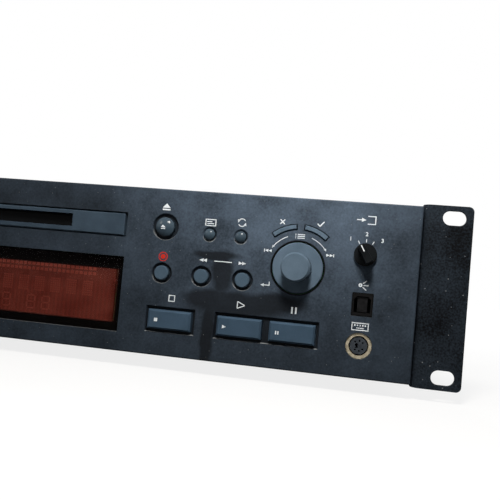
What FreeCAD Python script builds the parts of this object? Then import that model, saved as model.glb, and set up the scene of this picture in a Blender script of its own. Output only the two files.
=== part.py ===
"""A two-unit rack minidisc deck, built as a parametric document.

Frame: X runs to the right and Z up as seen by someone facing the front panel, and Y runs to the
back. The origin is the middle of the rack mounting plane, the rear face of the two rack ears.
All sizes are in millimetres, and live in the spreadsheet "Sizes".
"""

import FreeCAD
import Part

import math
import os
import re

import Sketcher

Vector = FreeCAD.Vector

SIZES = {
    # rack ears: bent steel angles with two slots each
    "ear_reach": 23.3,
    "ear_over": 2.05,
    "ear_sheet": 2.0,
    "ear_bend": 4.0,
    "ear_depth": 82.0,
    "ear_under": 5.0,
    "ear_corner": 2.5,
    "slot_inset": 8.75,
    "slot_margin": 5.95,
    "slot_length": 11.0,
    "slot_width": 7.0,
    "ear_screw_drop": 18.0,
    "ear_screw_rise": 10.0,
    "ear_screw_back": 16.0,
    "ear_screw_length": 7.0,
    # case: bottom pan, rear panel and folded top cover
    "case_width": 436.0,
    "case_height": 84.0,
    "case_depth": 278.0,
    "cover_sheet": 1.0,
    "pan_sheet": 1.2,
    "pan_flange": 14.0,
    "fit_gap": 0.2,
    "screw_radius": 1.5,
    "screw_hole": 1.7,
    "screw_head": 3.2,
    "screw_head_height": 2.0,
    "screw_head_edge": 0.8,
    "cover_screw_length": 5.0,
    "low_screw_rise": 8.0,
    "vent_share": 0.26,
    "vent_step": 35.0,
    "vent_length": 26.0,
    "vent_width": 2.6,
    "vent_pitch": 8.0,
    "vent_count": 11,
    "floor_vent_count": 7,
    "screw_inset": 12.0,
    "screw_pitch": 61.0,
    "foot_share": 0.39,
    "foot_front": 64.0,
    "foot_back": 39.0,
    "foot_radius": 9.0,
    "foot_height": 8.0,
    "foot_flare": 1.0,
    "foot_recess": 4.0,
    "foot_floor": 3.0,
    # front panel: a moulded tray with its rim to the back
    "panel_over": 0.6,
    "panel_wall": 3.0,
    "panel_depth": 11.0,
    "panel_rim": 2.5,
    "panel_edge": 0.8,
    "panel_proud": 3.0,
    "frame_sheet": 1.2,
    "frame_side": 30.0,
    "frame_lip": 10.0,
    "lip_inset": 3.0,
    "opening_level": -0.01786,
    "opening_side": 9.2,
    "opening_end": 8.0,
    "opening_gap": 2.0,
    "pocket_depth": 1.5,
    "pocket_slope": 18.0,
    "board_sheet": 1.6,
    "board_level": -0.02381,
    "board_share": 0.8333,
    "key_board_share": 0.3339,
    "key_board_part": 0.3073,
    "level_board_share": -0.2936,
    "level_board_part": 0.2294,
    "power_board_part": 0.0665,
    "power_board_drop": 4.0,
    "display_board_side": 14.5,
    "display_board_end": 4.0,
    "display_board_drop": 0.6,
    "board_gap": 5.0,
    "boss_side": 4.6,
    "boss_inset": 3.0,
    "post_side": 3.6,
    # disc slot, its bezel and its dust door
    "bezel_share": 0.0000,
    "bezel_level": 0.26905,
    "bezel_hole_width": 139.2,
    "bezel_hole_height": 12.8,
    "bezel_side_gap": 1.5,
    "bezel_gap": 0.7,
    "slot_mouth_width": 78.0,
    "slot_mouth_height": 6.7,
    "mouth_rise": 0.3,
    "bezel_recess": 0.3,
    "tunnel_wall": 1.5,
    "door_sheet": 0.6,
    "door_pin": 0.4,
    "door_pin_reach": 0.8,
    "door_barrel": 0.5,
    # display window and its tube
    "window_level": -0.15952,
    "window_width": 139.6,
    "window_height": 38.8,
    "window_recess": 0.8,
    "tube_width": 126.0,
    "tube_height": 32.0,
    "tube_depth": 6.0,
    "tip_radius": 1.4,
    "tip_length": 3.0,
    "tip_rise": 6.0,
    "seat_lip": 2.6,
    "seat_sheet": 1.2,
    # round buttons
    "button_gap": 0.3,
    "button_flange": 1.1,
    "flange_lip": 0.9,
    "stem_side": 2.8,
    "button_travel": 0.8,
    "switch_side": 5.0,
    "switch_height": 1.2,
    "soft_edge": 0.4,
    "round_radius": 3.7,
    "round_dish": 5.45,
    "round_proud": 1.2,
    "eject_radius": 4.8,
    "eject_dish": 6.95,
    "eject_proud": 1.0,
    "eject_dome": 1.9,
    "small_radius": 2.8,
    "small_dish": 3.9,
    "small_proud": 0.6,
    "small_dome": 1.2,
    "eject_share": 0.2076,
    "eject_level": 0.27381,
    "display_share": 0.2615,
    "display_level": 0.24881,
    "mode_share": 0.2984,
    "mode_level": 0.24881,
    "record_share": 0.2080,
    "search_back_share": 0.2560,
    "search_forward_share": 0.3046,
    "round_row_level": -0.00714,
    # oblong keys
    "key_gap": 3.9,
    "key_height": 9.8,
    "key_bevel": 0.9,
    "key_proud": 2.0,
    "key_margin": 1.75,
    "stop_share": 0.2234,
    "play_share": 0.3060,
    "ready_share": 0.3667,
    "key_level": -0.28810,
    "power_share": -0.4495,
    "power_width": 16.0,
    "power_stem_reach": 5.0,
    "power_switch_width": 14.0,
    "power_switch_height": 12.0,
    "power_switch_depth": 20.0,
    "power_well": 9.0,
    # jog dial with its two arc keys
    "jog_share": 0.3665,
    "jog_level": 0.09405,
    "jog_hole_radius": 13.15,
    "jog_radius": 12.5,
    "jog_knob_radius": 7.1,
    "jog_proud": 12.2,
    "jog_disc_proud": 0.6,
    "jog_disc_sheet": 2.0,
    "arc_inner": 18.6,
    "arc_outer": 21.8,
    "arc_start": 4.6,
    "arc_end": 42.0,
    "arc_proud": 0.8,
    "arc_gap": 0.5,
    "shaft_radius": 3.0,
    "shaft_clear": 1.0,
    "bore_play": 0.05,
    "encoder_side": 12.6,
    "encoder_gap": 1.0,
    "encoder_depth": 8.0,
    "plunger_depth": 4.5,
    # input selector
    "selector_share": 0.4404,
    "selector_level": 0.20238,
    "selector_radius": 5.5,
    "selector_skirt": 2.0,
    "selector_proud": 10.0,
    "selector_grip": 3.6,
    "selector_inset": 0.5,
    "selector_turn": 30.0,
    # sockets at the right end
    "optical_share": 0.4415,
    "optical_level": -0.08393,
    "optical_width": 9.6,
    "optical_height": 10.8,
    "optical_mouth": 8.0,
    "mouth_cut": 1.4,
    "shutter_inset": 1.5,
    "socket_lip": 1.5,
    "socket_wall": 1.0,
    "keyboard_share": 0.4411,
    "keyboard_level": -0.32024,
    "keyboard_radius": 6.2,
    "keyboard_bore": 4.75,
    "keyboard_inset": 0.8,
    "keyboard_insert": 4.1,
    "contact_ring": 2.5,
    "contact_hole": 0.45,
    "contact_depth": 5.0,
    "insert_key_width": 1.2,
    "insert_key_height": 2.2,
    # level and pitch controls at the left end
    "timer_level": 0.14286,
    "timer_width": 12.0,
    "timer_height": 4.4,
    "timer_travel": 3.5,
    "timer_proud": 2.6,
    "timer_switch_width": 18.0,
    "timer_switch_height": 8.0,
    "phones_share": -0.3853,
    "jack_bore": 3.25,
    "jack_bush": 4.4,
    "jack_bush_proud": 2.4,
    "jack_nut": 5.6,
    "jack_nut_proud": 1.8,
    "jack_side": 13.0,
    "jack_depth": 15.0,
    "knob_level": 0.09524,
    "knob_radius": 7.1,
    "knob_proud": 12.2,
    "knob_bevel": 0.8,
    "mark_inset": 2.6,
    "mark_width": 1.0,
    "mark_length": 3.0,
    "mark_depth": 0.4,
    "control_side": 14.0,
    "pitch_share": -0.3142,
    "input_share": -0.2294,
    "input_radius": 12.5,
    "input_ring_proud": 7.0,
    "input_knob_over": 8.0,
    "ring_shaft": 4.5,
    "ring_stop": 1.5,
    # disc loader
    "loader_width": 88.0,
    "loader_front": 10.0,
    "loader_depth": 100.0,
    "loader_drop": 13.9,
    "loader_wall": 21.0,
    "loader_sheet": 1.2,
    "join_overlap": 0.5,
    "skirt_drop": 8.0,
    "leg_gap": 2.0,
    "leg_width": 14.0,
    "leg_slope": 6.0,
    "carriage_sheet": 0.6,
    "carriage_ledge": 11.0,
    "carriage_stop_inset": 15.0,
    "cartridge_width": 72.0,
    "cartridge_height": 5.0,
    "cartridge_depth": 68.0,
    "cartridge_play": 0.5,
    "load_drop": 3.0,
    "carriage_front": 9.0,
    "guide_pin": 1.2,
    "guide_front": 12.0,
    "guide_back": 56.0,
    "head_length": 44.0,
    "head_width": 18.0,
    "spindle_y": 45.0,
    "spindle_radius": 1.0,
    "spindle_drop": 5.0,
    "turntable_radius": 8.0,
    "turntable_rise": 1.2,
    "turntable_rim": 1.2,
    "turntable_slope": 2.0,
    "turntable_height": 4.0,
    "hub_radius": 3.0,
    "hub_tip": 1.6,
    "hub_height": 2.4,
    "motor_radius": 10.0,
    "motor_height": 6.0,
    "sled_motor_radius": 6.0,
    "sled_motor_height": 9.0,
    "sled_start": 57.0,
    "sled_travel": 15.0,
    "sled_depth": 20.0,
    "sled_height": 4.4,
    "sled_side": 4.0,
    "lens_radius": 4.0,
    "lens_height": 1.0,
    "lens_inset": 5.0,
    "rod_radius": 1.5,
    "rod_span": 32.0,
    "rod_rise": 2.6,
    "rod_inset": 9.0,
    "rod_over": 12.0,
    "clamp_width": 6.0,
    "clamp_depth": 3.0,
    "clamp_height": 5.0,
    "rack_side": 6.5,
    "rack_teeth": 7,
    "gear_module": 0.8,
    "gear_teeth": 18,
    "gear_width": 2.4,
    "gear_backlash": 0.25,
    "gear_post": 1.5,
    "gear_rise": 0.3,
    "gear_inset": 6.0,
    "pressure_angle": 20.0,
    # rear connectors
    "rear_sheet": 1.2,
    "rear_lip": 12.0,
    "plate_sheet": 2.0,
    "xlr_in_share": -0.3739,
    "xlr_out_share": -0.2225,
    "xlr_pitch": 30.0,
    "phono_share": -0.0688,
    "phono_pitch": 20.0,
    "phono_rise": 18.0,
    "port_share": 0.0619,
    "port_pitch": 18.0,
    "inlet_share": 0.4083,
    "xlr_plate_width": 26.0,
    "xlr_plate_height": 31.0,
    "xlr_radius": 11.0,
    "xlr_depth": 20.0,
    "xlr_cup": 8.2,
    "xlr_cup_depth": 12.0,
    "xlr_ring": 4.0,
    "xlr_hole": 1.3,
    "xlr_hole_depth": 10.0,
    "xlr_pin": 1.2,
    "xlr_pin_inset": 2.5,
    "phono_radius": 4.15,
    "phono_bore": 1.6,
    "phono_proud": 8.0,
    "phono_depth": 12.0,
    "phono_side": 4.0,
    "phono_end": 2.0,
    "port_side": 9.6,
    "port_depth": 12.0,
    "port_proud": 0.6,
    "plug_side": 6.0,
    "plug_depth": 6.0,
    "plug_grip": 8.0,
    "plug_grip_depth": 3.4,
    "inlet_width": 28.0,
    "inlet_height": 20.0,
    "inlet_depth": 16.0,
    "inlet_wall": 2.0,
    "inlet_floor": 3.0,
    "inlet_plate_width": 48.0,
    "inlet_plate_height": 24.0,
    "blade_sheet": 2.0,
    "blade_height": 4.0,
    "blade_pitch": 7.0,
    "blade_rise": 2.0,
    "blade_length": 9.5,
    # boards and transformer
    "standoff": 6.0,
    "pillar_side": 6.0,
    "pillar_inset": 5.0,
    "main_board_share": 0.2867,
    "main_board_back": 119.0,
    "main_board_width": 150.0,
    "main_board_depth": 180.0,
    "power_board_back": 164.0,
    "power_board_width": 90.0,
    "power_board_depth": 80.0,
    "main_can_radius": 9.0,
    "main_can_height": 30.0,
    "small_can_radius": 6.0,
    "small_can_height": 20.0,
    "heat_sink_width": 34.0,
    "heat_sink_depth": 12.0,
    "heat_sink_height": 28.0,
    "relay_width": 20.0,
    "relay_depth": 14.0,
    "relay_height": 12.0,
    "chip_side": 20.0,
    "chip_height": 2.4,
    "core_share": -0.344,
    "core_back": 79.0,
    "core_width": 58.0,
    "core_depth": 48.0,
    "core_height": 48.0,
}

doc = FreeCAD.newDocument("MinidiscDeck")
sheet = doc.addObject("Spreadsheet::Sheet", "Sizes")
for row, (name, number) in enumerate(SIZES.items(), 1):
    sheet.set("A%d" % row, name)
    sheet.set("B%d" % row, str(number))
    sheet.setAlias("B%d" % row, name)
doc.recompute()

NODES = []


def bound(expression):
    """The expression with its sizes read from the sheet.

    A place such as jog_x is a share of the case's width, here jog_share, and a place such as
    jog_z is a share of its height, here jog_level.
    """
    placed = re.sub(r"\b([a-z_]+)_x\b", r"(\1_share * case_width)", str(expression))
    placed = re.sub(r"\b([a-z_]+)_z\b", r"(\1_level * case_height)", placed)
    return re.sub(
        r"[a-z][a-z0-9_]*",
        lambda word: "Sizes." + word.group() if word.group() in SIZES else word.group(),
        placed,
    )


def mm(expression):
    """The expression's value, as a plain number."""
    return float(sheet.evalExpression(bound(expression)))


def tie(thing, prop, expression):
    """Binds one property of an object to the sheet."""
    thing.setExpression(prop, bound(expression))


def keep(thing, label):
    """Marks an object as one finished sub-part."""
    thing.Label = label
    NODES.append(thing)
    return thing


# Places along Y that several pieces share, as expressions of the sheet's sizes.
FACE = "(-ear_sheet - panel_proud)"
INSIDE = "(-ear_sheet - panel_proud + panel_wall)"
RIM = "(-ear_sheet - panel_proud + panel_depth)"
BOARD = "(-ear_sheet - panel_proud + panel_wall + board_gap)"
CASE_END = "(-ear_sheet - panel_proud + panel_depth + case_depth)"
CASE_TOP = "(case_height / 2)"
TUBE_FRONT = f"({INSIDE} + seat_sheet + fit_gap)"
DISPLAY_BACK = f"({TUBE_FRONT} + tube_depth + fit_gap)"
PAN_FLOOR = "(pan_sheet - case_height / 2)"
INNER_HALF = "(case_width / 2 - cover_sheet - fit_gap)"


class Drawing:
    """A sketch on one of its body's origin planes, with every length tied to the sheet."""

    def __init__(self, body, plane="XZ", lift="0"):
        self.sketch = body.newObject("Sketcher::SketchObject", "Sketch")
        planes = body.Origin.OriginFeatures
        support = next(p for p in planes if p.Role == plane + "_Plane")
        self.sketch.AttachmentSupport = [(support, "")]
        self.sketch.MapMode = "FlatFace"
        tie(self.sketch, "AttachmentOffset.Base.z", lift)

    def limit(self, kind, *where, to):
        """A driving dimension, tied to an expression."""
        index = self.sketch.addConstraint(Sketcher.Constraint(kind, *where, mm(to)))
        self.sketch.setExpression("Constraints[%d]" % index, bound(to))

    def loop(self, points):
        """A closed outline of straight edges through points given as two expressions each."""
        first = self.sketch.GeometryCount
        spots = [Vector(mm(x), mm(y), 0) for x, y in points]
        count = len(spots)
        for n in range(count):
            self.sketch.addGeometry(Part.LineSegment(spots[n], spots[(n + 1) % count]))
        for n in range(count):
            follower = first + (n + 1) % count
            self.sketch.addConstraint(
                Sketcher.Constraint("Coincident", first + n, 2, follower, 1)
            )
        for n, (x, y) in enumerate(points):
            self.limit("DistanceX", -1, 1, first + n, 1, to=x)
            self.limit("DistanceY", -1, 1, first + n, 1, to=y)
        return self

    def rectangle(self, x, y, width, height):
        """A rectangle by its middle and its two sides."""
        left, right = f"{x} - {width} / 2", f"{x} + {width} / 2"
        low, high = f"{y} - {height} / 2", f"{y} + {height} / 2"
        return self.loop([(left, low), (right, low), (right, high), (left, high)])

    def circle(self, x, y, radius):
        """A circle by its middle and its radius."""
        middle = Vector(mm(x), mm(y), 0)
        index = self.sketch.addGeometry(
            Part.Circle(middle, Vector(0, 0, 1), mm(radius))
        )
        self.limit("Radius", index, to=radius)
        self.limit("DistanceX", -1, 1, index, 3, to=x)
        self.limit("DistanceY", -1, 1, index, 3, to=y)
        return self

    def slot(self, x, y, length, width):
        """A slot along the sketch's first axis, with round ends."""
        reach = f"({length} - {width}) / 2"
        middle, half, radius = Vector(mm(x), mm(y), 0), mm(reach), mm(f"{width} / 2")
        left, right = middle - Vector(half, 0, 0), middle + Vector(half, 0, 0)
        up, quarter = Vector(0, radius, 0), math.pi / 2
        top = self.sketch.addGeometry(Part.LineSegment(right + up, left + up))
        low = self.sketch.addGeometry(Part.LineSegment(left - up, right - up))
        ends = [(left, quarter, 3 * quarter), (right, -quarter, quarter)]
        west, east = [
            self.sketch.addGeometry(
                Part.ArcOfCircle(Part.Circle(c, Vector(0, 0, 1), radius), a, b)
            )
            for c, a, b in ends
        ]
        joins = [(top, 2, west, 1), (west, 2, low, 1), (low, 2, east, 1), (east, 2, top, 1)]
        for one in joins:
            self.sketch.addConstraint(Sketcher.Constraint("Tangent", *one))
        self.sketch.addConstraint(Sketcher.Constraint("Horizontal", top))
        self.limit("Radius", west, to=f"{width} / 2")
        self.limit("DistanceX", -1, 1, west, 3, to=f"{x} - {reach}")
        self.limit("DistanceX", -1, 1, east, 3, to=f"{x} + {reach}")
        self.limit("DistanceY", -1, 1, west, 3, to=y)
        return self

    def sector(self, x, y, inner, outer, start, end):
        """A piece of a ring round a point, between two angles counted from the first axis."""
        middle = Vector(mm(x), mm(y), 0)
        low, high = math.radians(mm(start)), math.radians(mm(end))
        spots = {}
        for tag, radius in (("in", mm(inner)), ("out", mm(outer))):
            for side, angle in (("low", low), ("high", high)):
                turn = Vector(math.cos(angle), math.sin(angle), 0)
                spots[tag, side] = middle + turn * radius
        arcs = [
            self.sketch.addGeometry(
                Part.ArcOfCircle(Part.Circle(middle, Vector(0, 0, 1), r), low, high)
            )
            for r in (mm(inner), mm(outer))
        ]
        sides = [
            self.sketch.addGeometry(Part.LineSegment(spots["in", s], spots["out", s]))
            for s in ("low", "high")
        ]
        joins = [
            (sides[0], 1, arcs[0], 1),
            (sides[0], 2, arcs[1], 1),
            (sides[1], 1, arcs[0], 2),
            (sides[1], 2, arcs[1], 2),
            (arcs[0], 3, arcs[1], 3),
        ]
        for one in joins:
            self.sketch.addConstraint(Sketcher.Constraint("Coincident", *one))
        self.limit("Radius", arcs[0], to=inner)
        self.limit("Radius", arcs[1], to=outer)
        self.limit("DistanceX", -1, 1, arcs[0], 3, to=x)
        self.limit("DistanceY", -1, 1, arcs[0], 3, to=y)
        for side, angle in zip(sides, (start, end)):
            self.limit("DistanceX", -1, 1, side, 1, to=f"{x} + {inner} * cos({angle})")
            self.limit("DistanceX", -1, 1, side, 2, to=f"{x} + {outer} * cos({angle})")
        return self


def new_body(label, x="0", y="0", z="0"):
    """An empty body whose own origin stands at a place tied to the sheet."""
    body = doc.addObject("PartDesign::Body", "Body")
    for axis, place in zip("xyz", (x, y, z)):
        tie(body, "Placement.Base." + axis, place)
    return keep(body, label)


def pad(drawing, length, against=True):
    """Grows a sketch against its plane's normal, which is towards +Y on an XZ plane."""
    body = drawing.sketch.getParentGeoFeatureGroup()
    feature = body.newObject("PartDesign::Pad", "Pad")
    feature.Profile = drawing.sketch
    feature.Reversed = against
    tie(feature, "Length", length)
    return feature


def pocket(drawing, depth, against=True, slope=None):
    """Cuts a sketch out of its body against its plane's normal, narrowing by a slope if given."""
    body = drawing.sketch.getParentGeoFeatureGroup()
    feature = body.newObject("PartDesign::Pocket", "Pocket")
    feature.Profile = drawing.sketch
    feature.Reversed = not against
    tie(feature, "Length", depth)
    if slope:
        tie(feature, "TaperAngle", f"0 - {slope}")
    return feature


def turn(drawing):
    """Revolves a sketch on an XY plane round its body's own Y axis."""
    body = drawing.sketch.getParentGeoFeatureGroup()
    feature = body.newObject("PartDesign::Revolution", "Revolution")
    feature.Profile = drawing.sketch
    feature.ReferenceAxis = (drawing.sketch, ["V_Axis"])
    feature.Angle = 360
    return feature


def dress(body, kind, size, chosen):
    """Rounds or bevels the edges of a body's last feature that chosen picks."""
    doc.recompute()
    base = body.Tip
    names = [
        "Edge%d" % (n + 1) for n, edge in enumerate(base.Shape.Edges) if chosen(edge)
    ]
    if not names:
        raise RuntimeError("no edge to dress on " + body.Label)
    feature = body.newObject("PartDesign::" + kind, kind)
    feature.Base = (base, names)
    tie(feature, "Radius" if kind == "Fillet" else "Size", size)
    return feature


NEAR = 1e-4


def at(edge, axis, place):
    """Whether a whole edge lies in the plane where that coordinate has that value."""
    box = edge.BoundBox
    low, high = getattr(box, axis + "Min"), getattr(box, axis + "Max")
    return abs(low - place) < NEAR and abs(high - place) < NEAR


def along(edge, axis):
    """Whether a straight edge runs along that axis."""
    if edge.Curve.TypeId != "Part::GeomLine":
        return False
    return abs(getattr(edge.tangentAt(edge.FirstParameter), axis)) > 1 - NEAR


TURNS = {
    "X": FreeCAD.Rotation(Vector(0, 1, 0), 90),
    "Y": FreeCAD.Rotation(Vector(1, 0, 0), -90),
    "Z": FreeCAD.Rotation(),
}


def place(thing, spot, axis="Z"):
    """Puts a primitive at a spot given as three expressions, pointing along an axis."""
    thing.Placement = FreeCAD.Placement(Vector(), TURNS[axis])
    for name, expression in zip("xyz", spot):
        tie(thing, "Placement.Base." + name, expression)
    return thing


def box(low, size):
    """A box by its lowest corner and its three sides."""
    thing = doc.addObject("Part::Box", "Box")
    for name, expression in zip(("Length", "Width", "Height"), size):
        tie(thing, name, expression)
    return place(thing, low)


def cylinder(start, radius, length, axis="Y"):
    """A cylinder from the middle of its first face, along an axis."""
    thing = doc.addObject("Part::Cylinder", "Cylinder")
    tie(thing, "Radius", radius)
    tie(thing, "Height", length)
    return place(thing, start, axis)


def cone(start, first, last, length, axis="Y"):
    """A cone from the middle of its first face, with the radii of both faces."""
    thing = doc.addObject("Part::Cone", "Cone")
    tie(thing, "Radius1", first)
    tie(thing, "Radius2", last)
    tie(thing, "Height", length)
    return place(thing, start, axis)


def join(*things):
    """Fuses objects that touch into one solid."""
    whole = doc.addObject("Part::MultiFuse", "Fusion")
    whole.Shapes = list(things)
    whole.Refine = True
    return whole


def group(*things):
    """Holds separate solids together as one object."""
    whole = doc.addObject("Part::Compound", "Group")
    whole.Links = list(things)
    return whole


def cut(base, *tools):
    """Takes objects away from another."""
    rest = doc.addObject("Part::Cut", "Cut")
    rest.Base = base
    rest.Tool = tools[0] if len(tools) == 1 else group(*tools)
    rest.Refine = True
    return rest


# --- Front panel ------------------------------------------------------------------------------

ROUND_KEYS = {
    "record_button": "record_x",
    "search_back_button": "search_back_x",
    "search_forward_button": "search_forward_x",
}
ROUND_SPOTS = [(x, "round_row_z") for x in ROUND_KEYS.values()] + [("pitch_x", "key_z")]
OBLONG_KEYS = {"stop_button": "stop_x", "play_button": "play_x", "ready_button": "ready_x"}
SMALL_KEYS = {
    "display_button": ("display_x", "display_z"),
    "play_mode_button": ("mode_x", "mode_z"),
}
ARC_KEYS = {
    "edit_button": ("90 + arc_start", "90 + arc_end"),
    "yes_button": ("90 - arc_end", "90 - arc_start"),
}
BOARD_HEIGHT = "(board_share * case_height)"
KEY_BOARD = ("key_board_x", "board_z", "(key_board_part * case_width)", BOARD_HEIGHT)
LEVEL_BOARD = ("level_board_x", "board_z", "(level_board_part * case_width)", BOARD_HEIGHT)
POWER_BOARD = (
    "power_x",
    "(board_z - power_board_drop)",
    "(power_board_part * case_width)",
    f"({BOARD_HEIGHT} - 2 * power_board_drop)",
)
DISPLAY_BOARD = (
    "bezel_x",
    "(window_z - display_board_drop)",
    "(tube_width + 2 * display_board_side)",
    "(tube_height + 2 * display_board_end)",
)
KEY_WIDTH = "(ready_x - play_x - key_gap)"
PANEL_WIDTH = "(case_width - 2 * fit_gap)"
PANEL_HEIGHT = "(case_height + 2 * panel_over)"


def corners(board, inset="boss_inset"):
    """The four places of a board's screws."""
    x, z, width, height = board
    for side in (-1, 1):
        for end in (-1, 1):
            yield (
                f"({x} + {side} * ({width} / 2 - {inset}))",
                f"({z} + {end} * ({height} / 2 - {inset}))",
            )


def front_panel():
    """The moulded front tray with its windows, dishes and holes."""
    body = new_body("front_panel")
    slab = Drawing(body, lift=f"0 - {FACE}")
    slab.rectangle("0", "0", PANEL_WIDTH, PANEL_HEIGHT)
    pad(slab, "panel_depth")
    dress(body, "Fillet", "panel_edge", lambda e: at(e, "Y", mm(FACE)))
    hollow = Drawing(body, lift=f"0 - {RIM}")
    hollow.rectangle(
        "0", "0", f"({PANEL_WIDTH} - 2 * panel_rim)", f"({PANEL_HEIGHT} - 2 * panel_rim)"
    )
    pocket(hollow, "panel_depth - panel_wall", against=False)

    bosses = Drawing(body, lift=f"0 - {INSIDE}")
    for board in (KEY_BOARD, LEVEL_BOARD, POWER_BOARD):
        for x, z in corners(board):
            bosses.rectangle(x, z, "boss_side", "boss_side")
    pad(bosses, "board_gap")
    posts = Drawing(body, lift=f"0 - {INSIDE}")
    for x, z in corners(DISPLAY_BOARD, "boss_side / 2"):
        posts.rectangle(x, z, "post_side", "post_side")
    pad(posts, f"{DISPLAY_BACK} - {INSIDE}")

    windows = Drawing(body, lift=f"0 - {FACE}")
    windows.rectangle("bezel_x", "bezel_z", "bezel_hole_width", "bezel_hole_height")
    windows.rectangle(
        "optical_x",
        "optical_z",
        "(optical_width + 2 * button_gap)",
        "(optical_height + 2 * button_gap)",
    )
    windows.circle("keyboard_x", "keyboard_z", "keyboard_radius + fit_gap")
    windows.circle("selector_x", "selector_z", "shaft_radius + shaft_clear")
    windows.circle("jog_x", "jog_z", "jog_hole_radius")
    windows.circle("phones_x", "knob_z", "shaft_radius + shaft_clear")
    windows.circle("pitch_x", "knob_z", "shaft_radius + shaft_clear")
    windows.circle("input_x", "knob_z", "ring_shaft + shaft_clear")
    windows.circle("phones_x", "key_z", "jack_bush + fit_gap")
    windows.rectangle("power_x", "timer_z", "timer_width", "timer_height")
    windows.rectangle("bezel_x", "window_z", "window_width", "window_height")
    for start, end in ARC_KEYS.values():
        windows.sector("jog_x", "jog_z", "arc_inner", "arc_outer", start, end)
    pocket(windows, "panel_wall")

    holes = Drawing(body, lift=f"0 - {FACE}")
    for x, z in ROUND_SPOTS:
        holes.circle(x, z, "round_radius + button_gap")
    holes.circle("eject_x", "eject_z", "eject_radius + button_gap")
    for x, z in SMALL_KEYS.values():
        holes.circle(x, z, "small_radius + button_gap")
    high = "(key_height + 2 * button_gap)"
    for x in OBLONG_KEYS.values():
        holes.rectangle(x, "key_z", f"({KEY_WIDTH} + 2 * button_gap)", high)
    holes.rectangle("power_x", "key_z", "(power_width + 2 * button_gap)", high)
    pocket(holes, "panel_wall")

    dishes = Drawing(body, lift=f"0 - {FACE}")
    for x, z in ROUND_SPOTS:
        dishes.circle(x, z, "round_dish")
    dishes.circle("eject_x", "eject_z", "eject_dish")
    high = "(key_height + 2 * key_margin)"
    dishes.rectangle("stop_x", "key_z", f"({KEY_WIDTH} + 2 * key_margin)", high)
    dishes.rectangle("power_x", "key_z", "(power_width + 2 * key_margin)", high)
    pair = f"(ready_x - play_x + {KEY_WIDTH} + 2 * key_margin)"
    dishes.rectangle("(play_x + ready_x) / 2", "key_z", pair, high)
    pocket(dishes, "pocket_depth", slope="pocket_slope")

    rings = Drawing(body, lift=f"0 - {FACE}")
    for x, z in SMALL_KEYS.values():
        rings.circle(x, z, "small_dish")
    pocket(rings, "small_dish - small_radius - button_gap", slope="45")
    return body


def front_frame():
    """The folded steel frame behind the panel, open where the display and the loader pass."""
    body = new_body("front_frame")
    low, high = PAN_FLOOR, f"({CASE_TOP} - cover_sheet - fit_gap)"
    height, middle = f"({high} - {low})", f"(({high} + {low}) / 2)"
    face = Drawing(body, lift=f"0 - {RIM}")
    face.rectangle("0", middle, f"(2 * {INNER_HALF})", height)
    pad(face, "frame_sheet")
    for edge in (f"({low} + frame_sheet / 2)", f"({high} - frame_sheet / 2)"):
        lip = Drawing(body, lift=f"0 - {RIM}")
        lip.rectangle("0", edge, f"(2 * ({INNER_HALF} - lip_inset))", "frame_sheet")
        pad(lip, "frame_lip")
    sides = Drawing(body, lift=f"0 - {RIM}")
    side_low = f"({PAN_FLOOR} + pan_flange)"
    for side in ("0 - ", ""):
        sides.rectangle(
            f"({side}({INNER_HALF} - frame_sheet / 2))",
            f"(({high} + {side_low}) / 2)",
            "frame_sheet",
            f"({high} - {side_low})",
        )
    pad(sides, "frame_side")
    openings = Drawing(body, lift=f"0 - {RIM}")
    wide, high = "(window_width + 2 * opening_side)", "(case_height - 2 * opening_end)"
    openings.rectangle("bezel_x", "opening_z", wide, high)
    wide, high = "(phones_x - power_x + 4 * board_gap)", f"({BOARD_HEIGHT} - 2 * power_board_drop)"
    openings.rectangle("(power_x + phones_x) / 2", "(board_z - power_board_drop)", wide, high)
    side = "(encoder_side + 2 * opening_gap)"
    openings.rectangle("jog_x", "jog_z", side, side)
    pocket(openings, "frame_sheet")
    holes = Drawing(body, "YZ", lift=f"0 - {INNER_HALF} - 1")
    for y, z in EAR_SCREWS[:2]:
        holes.circle(y, z, "screw_hole")
    pocket(holes, f"2 * {INNER_HALF} + 2", against=False)
    return body


# --- Disc slot --------------------------------------------------------------------------------

BEZEL_FACE = f"({FACE} + bezel_recess)"
MOUTH_Z = "(bezel_z + mouth_rise)"
DOOR_Z = f"({MOUTH_Z} + slot_mouth_height / 2 - door_pin - fit_gap)"
TUNNEL_END = f"({RIM} + fit_gap)"


def slot_bezel():
    """The slot's moulded frame: a face plate, a seat behind the panel and a tunnel to the loader."""
    body = new_body("slot_bezel", x="bezel_x", z="bezel_z")
    width = "(bezel_hole_width - 2 * bezel_side_gap)"
    height = "(bezel_hole_height - 2 * bezel_gap)"
    pad(Drawing(body, lift=f"0 - {BEZEL_FACE}").rectangle("0", "0", width, height), "panel_wall")
    dress(body, "Fillet", "bezel_gap", lambda e: at(e, "Y", mm(BEZEL_FACE)))
    seat = Drawing(body, lift=f"0 - {INSIDE}")
    seat.rectangle(
        "0", "0", "(bezel_hole_width + 2 * seat_lip)", "(bezel_hole_height + seat_lip)"
    )
    pad(seat, "seat_sheet")
    tunnel = Drawing(body, lift=f"0 - {INSIDE}")
    wide, high = "(slot_mouth_width + 2 * tunnel_wall)", "(slot_mouth_height + 2 * tunnel_wall)"
    tunnel.rectangle("0", "mouth_rise", wide, high)
    pad(tunnel, f"{TUNNEL_END} - {INSIDE}")
    mouth = Drawing(body, lift=f"0 - {BEZEL_FACE}")
    mouth.rectangle("0", "mouth_rise", "slot_mouth_width", "slot_mouth_height")
    pocket(mouth, f"{TUNNEL_END} - {BEZEL_FACE}")
    reach = "(slot_mouth_width / 2 + door_pin_reach + fit_gap)"
    pins = Drawing(body, "YZ", lift=f"0 - {reach}")
    pins.circle("0", f"{DOOR_Z} - bezel_z", "door_pin + bore_play")
    pocket(pins, f"2 * {reach}", against=False)
    return body


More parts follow.
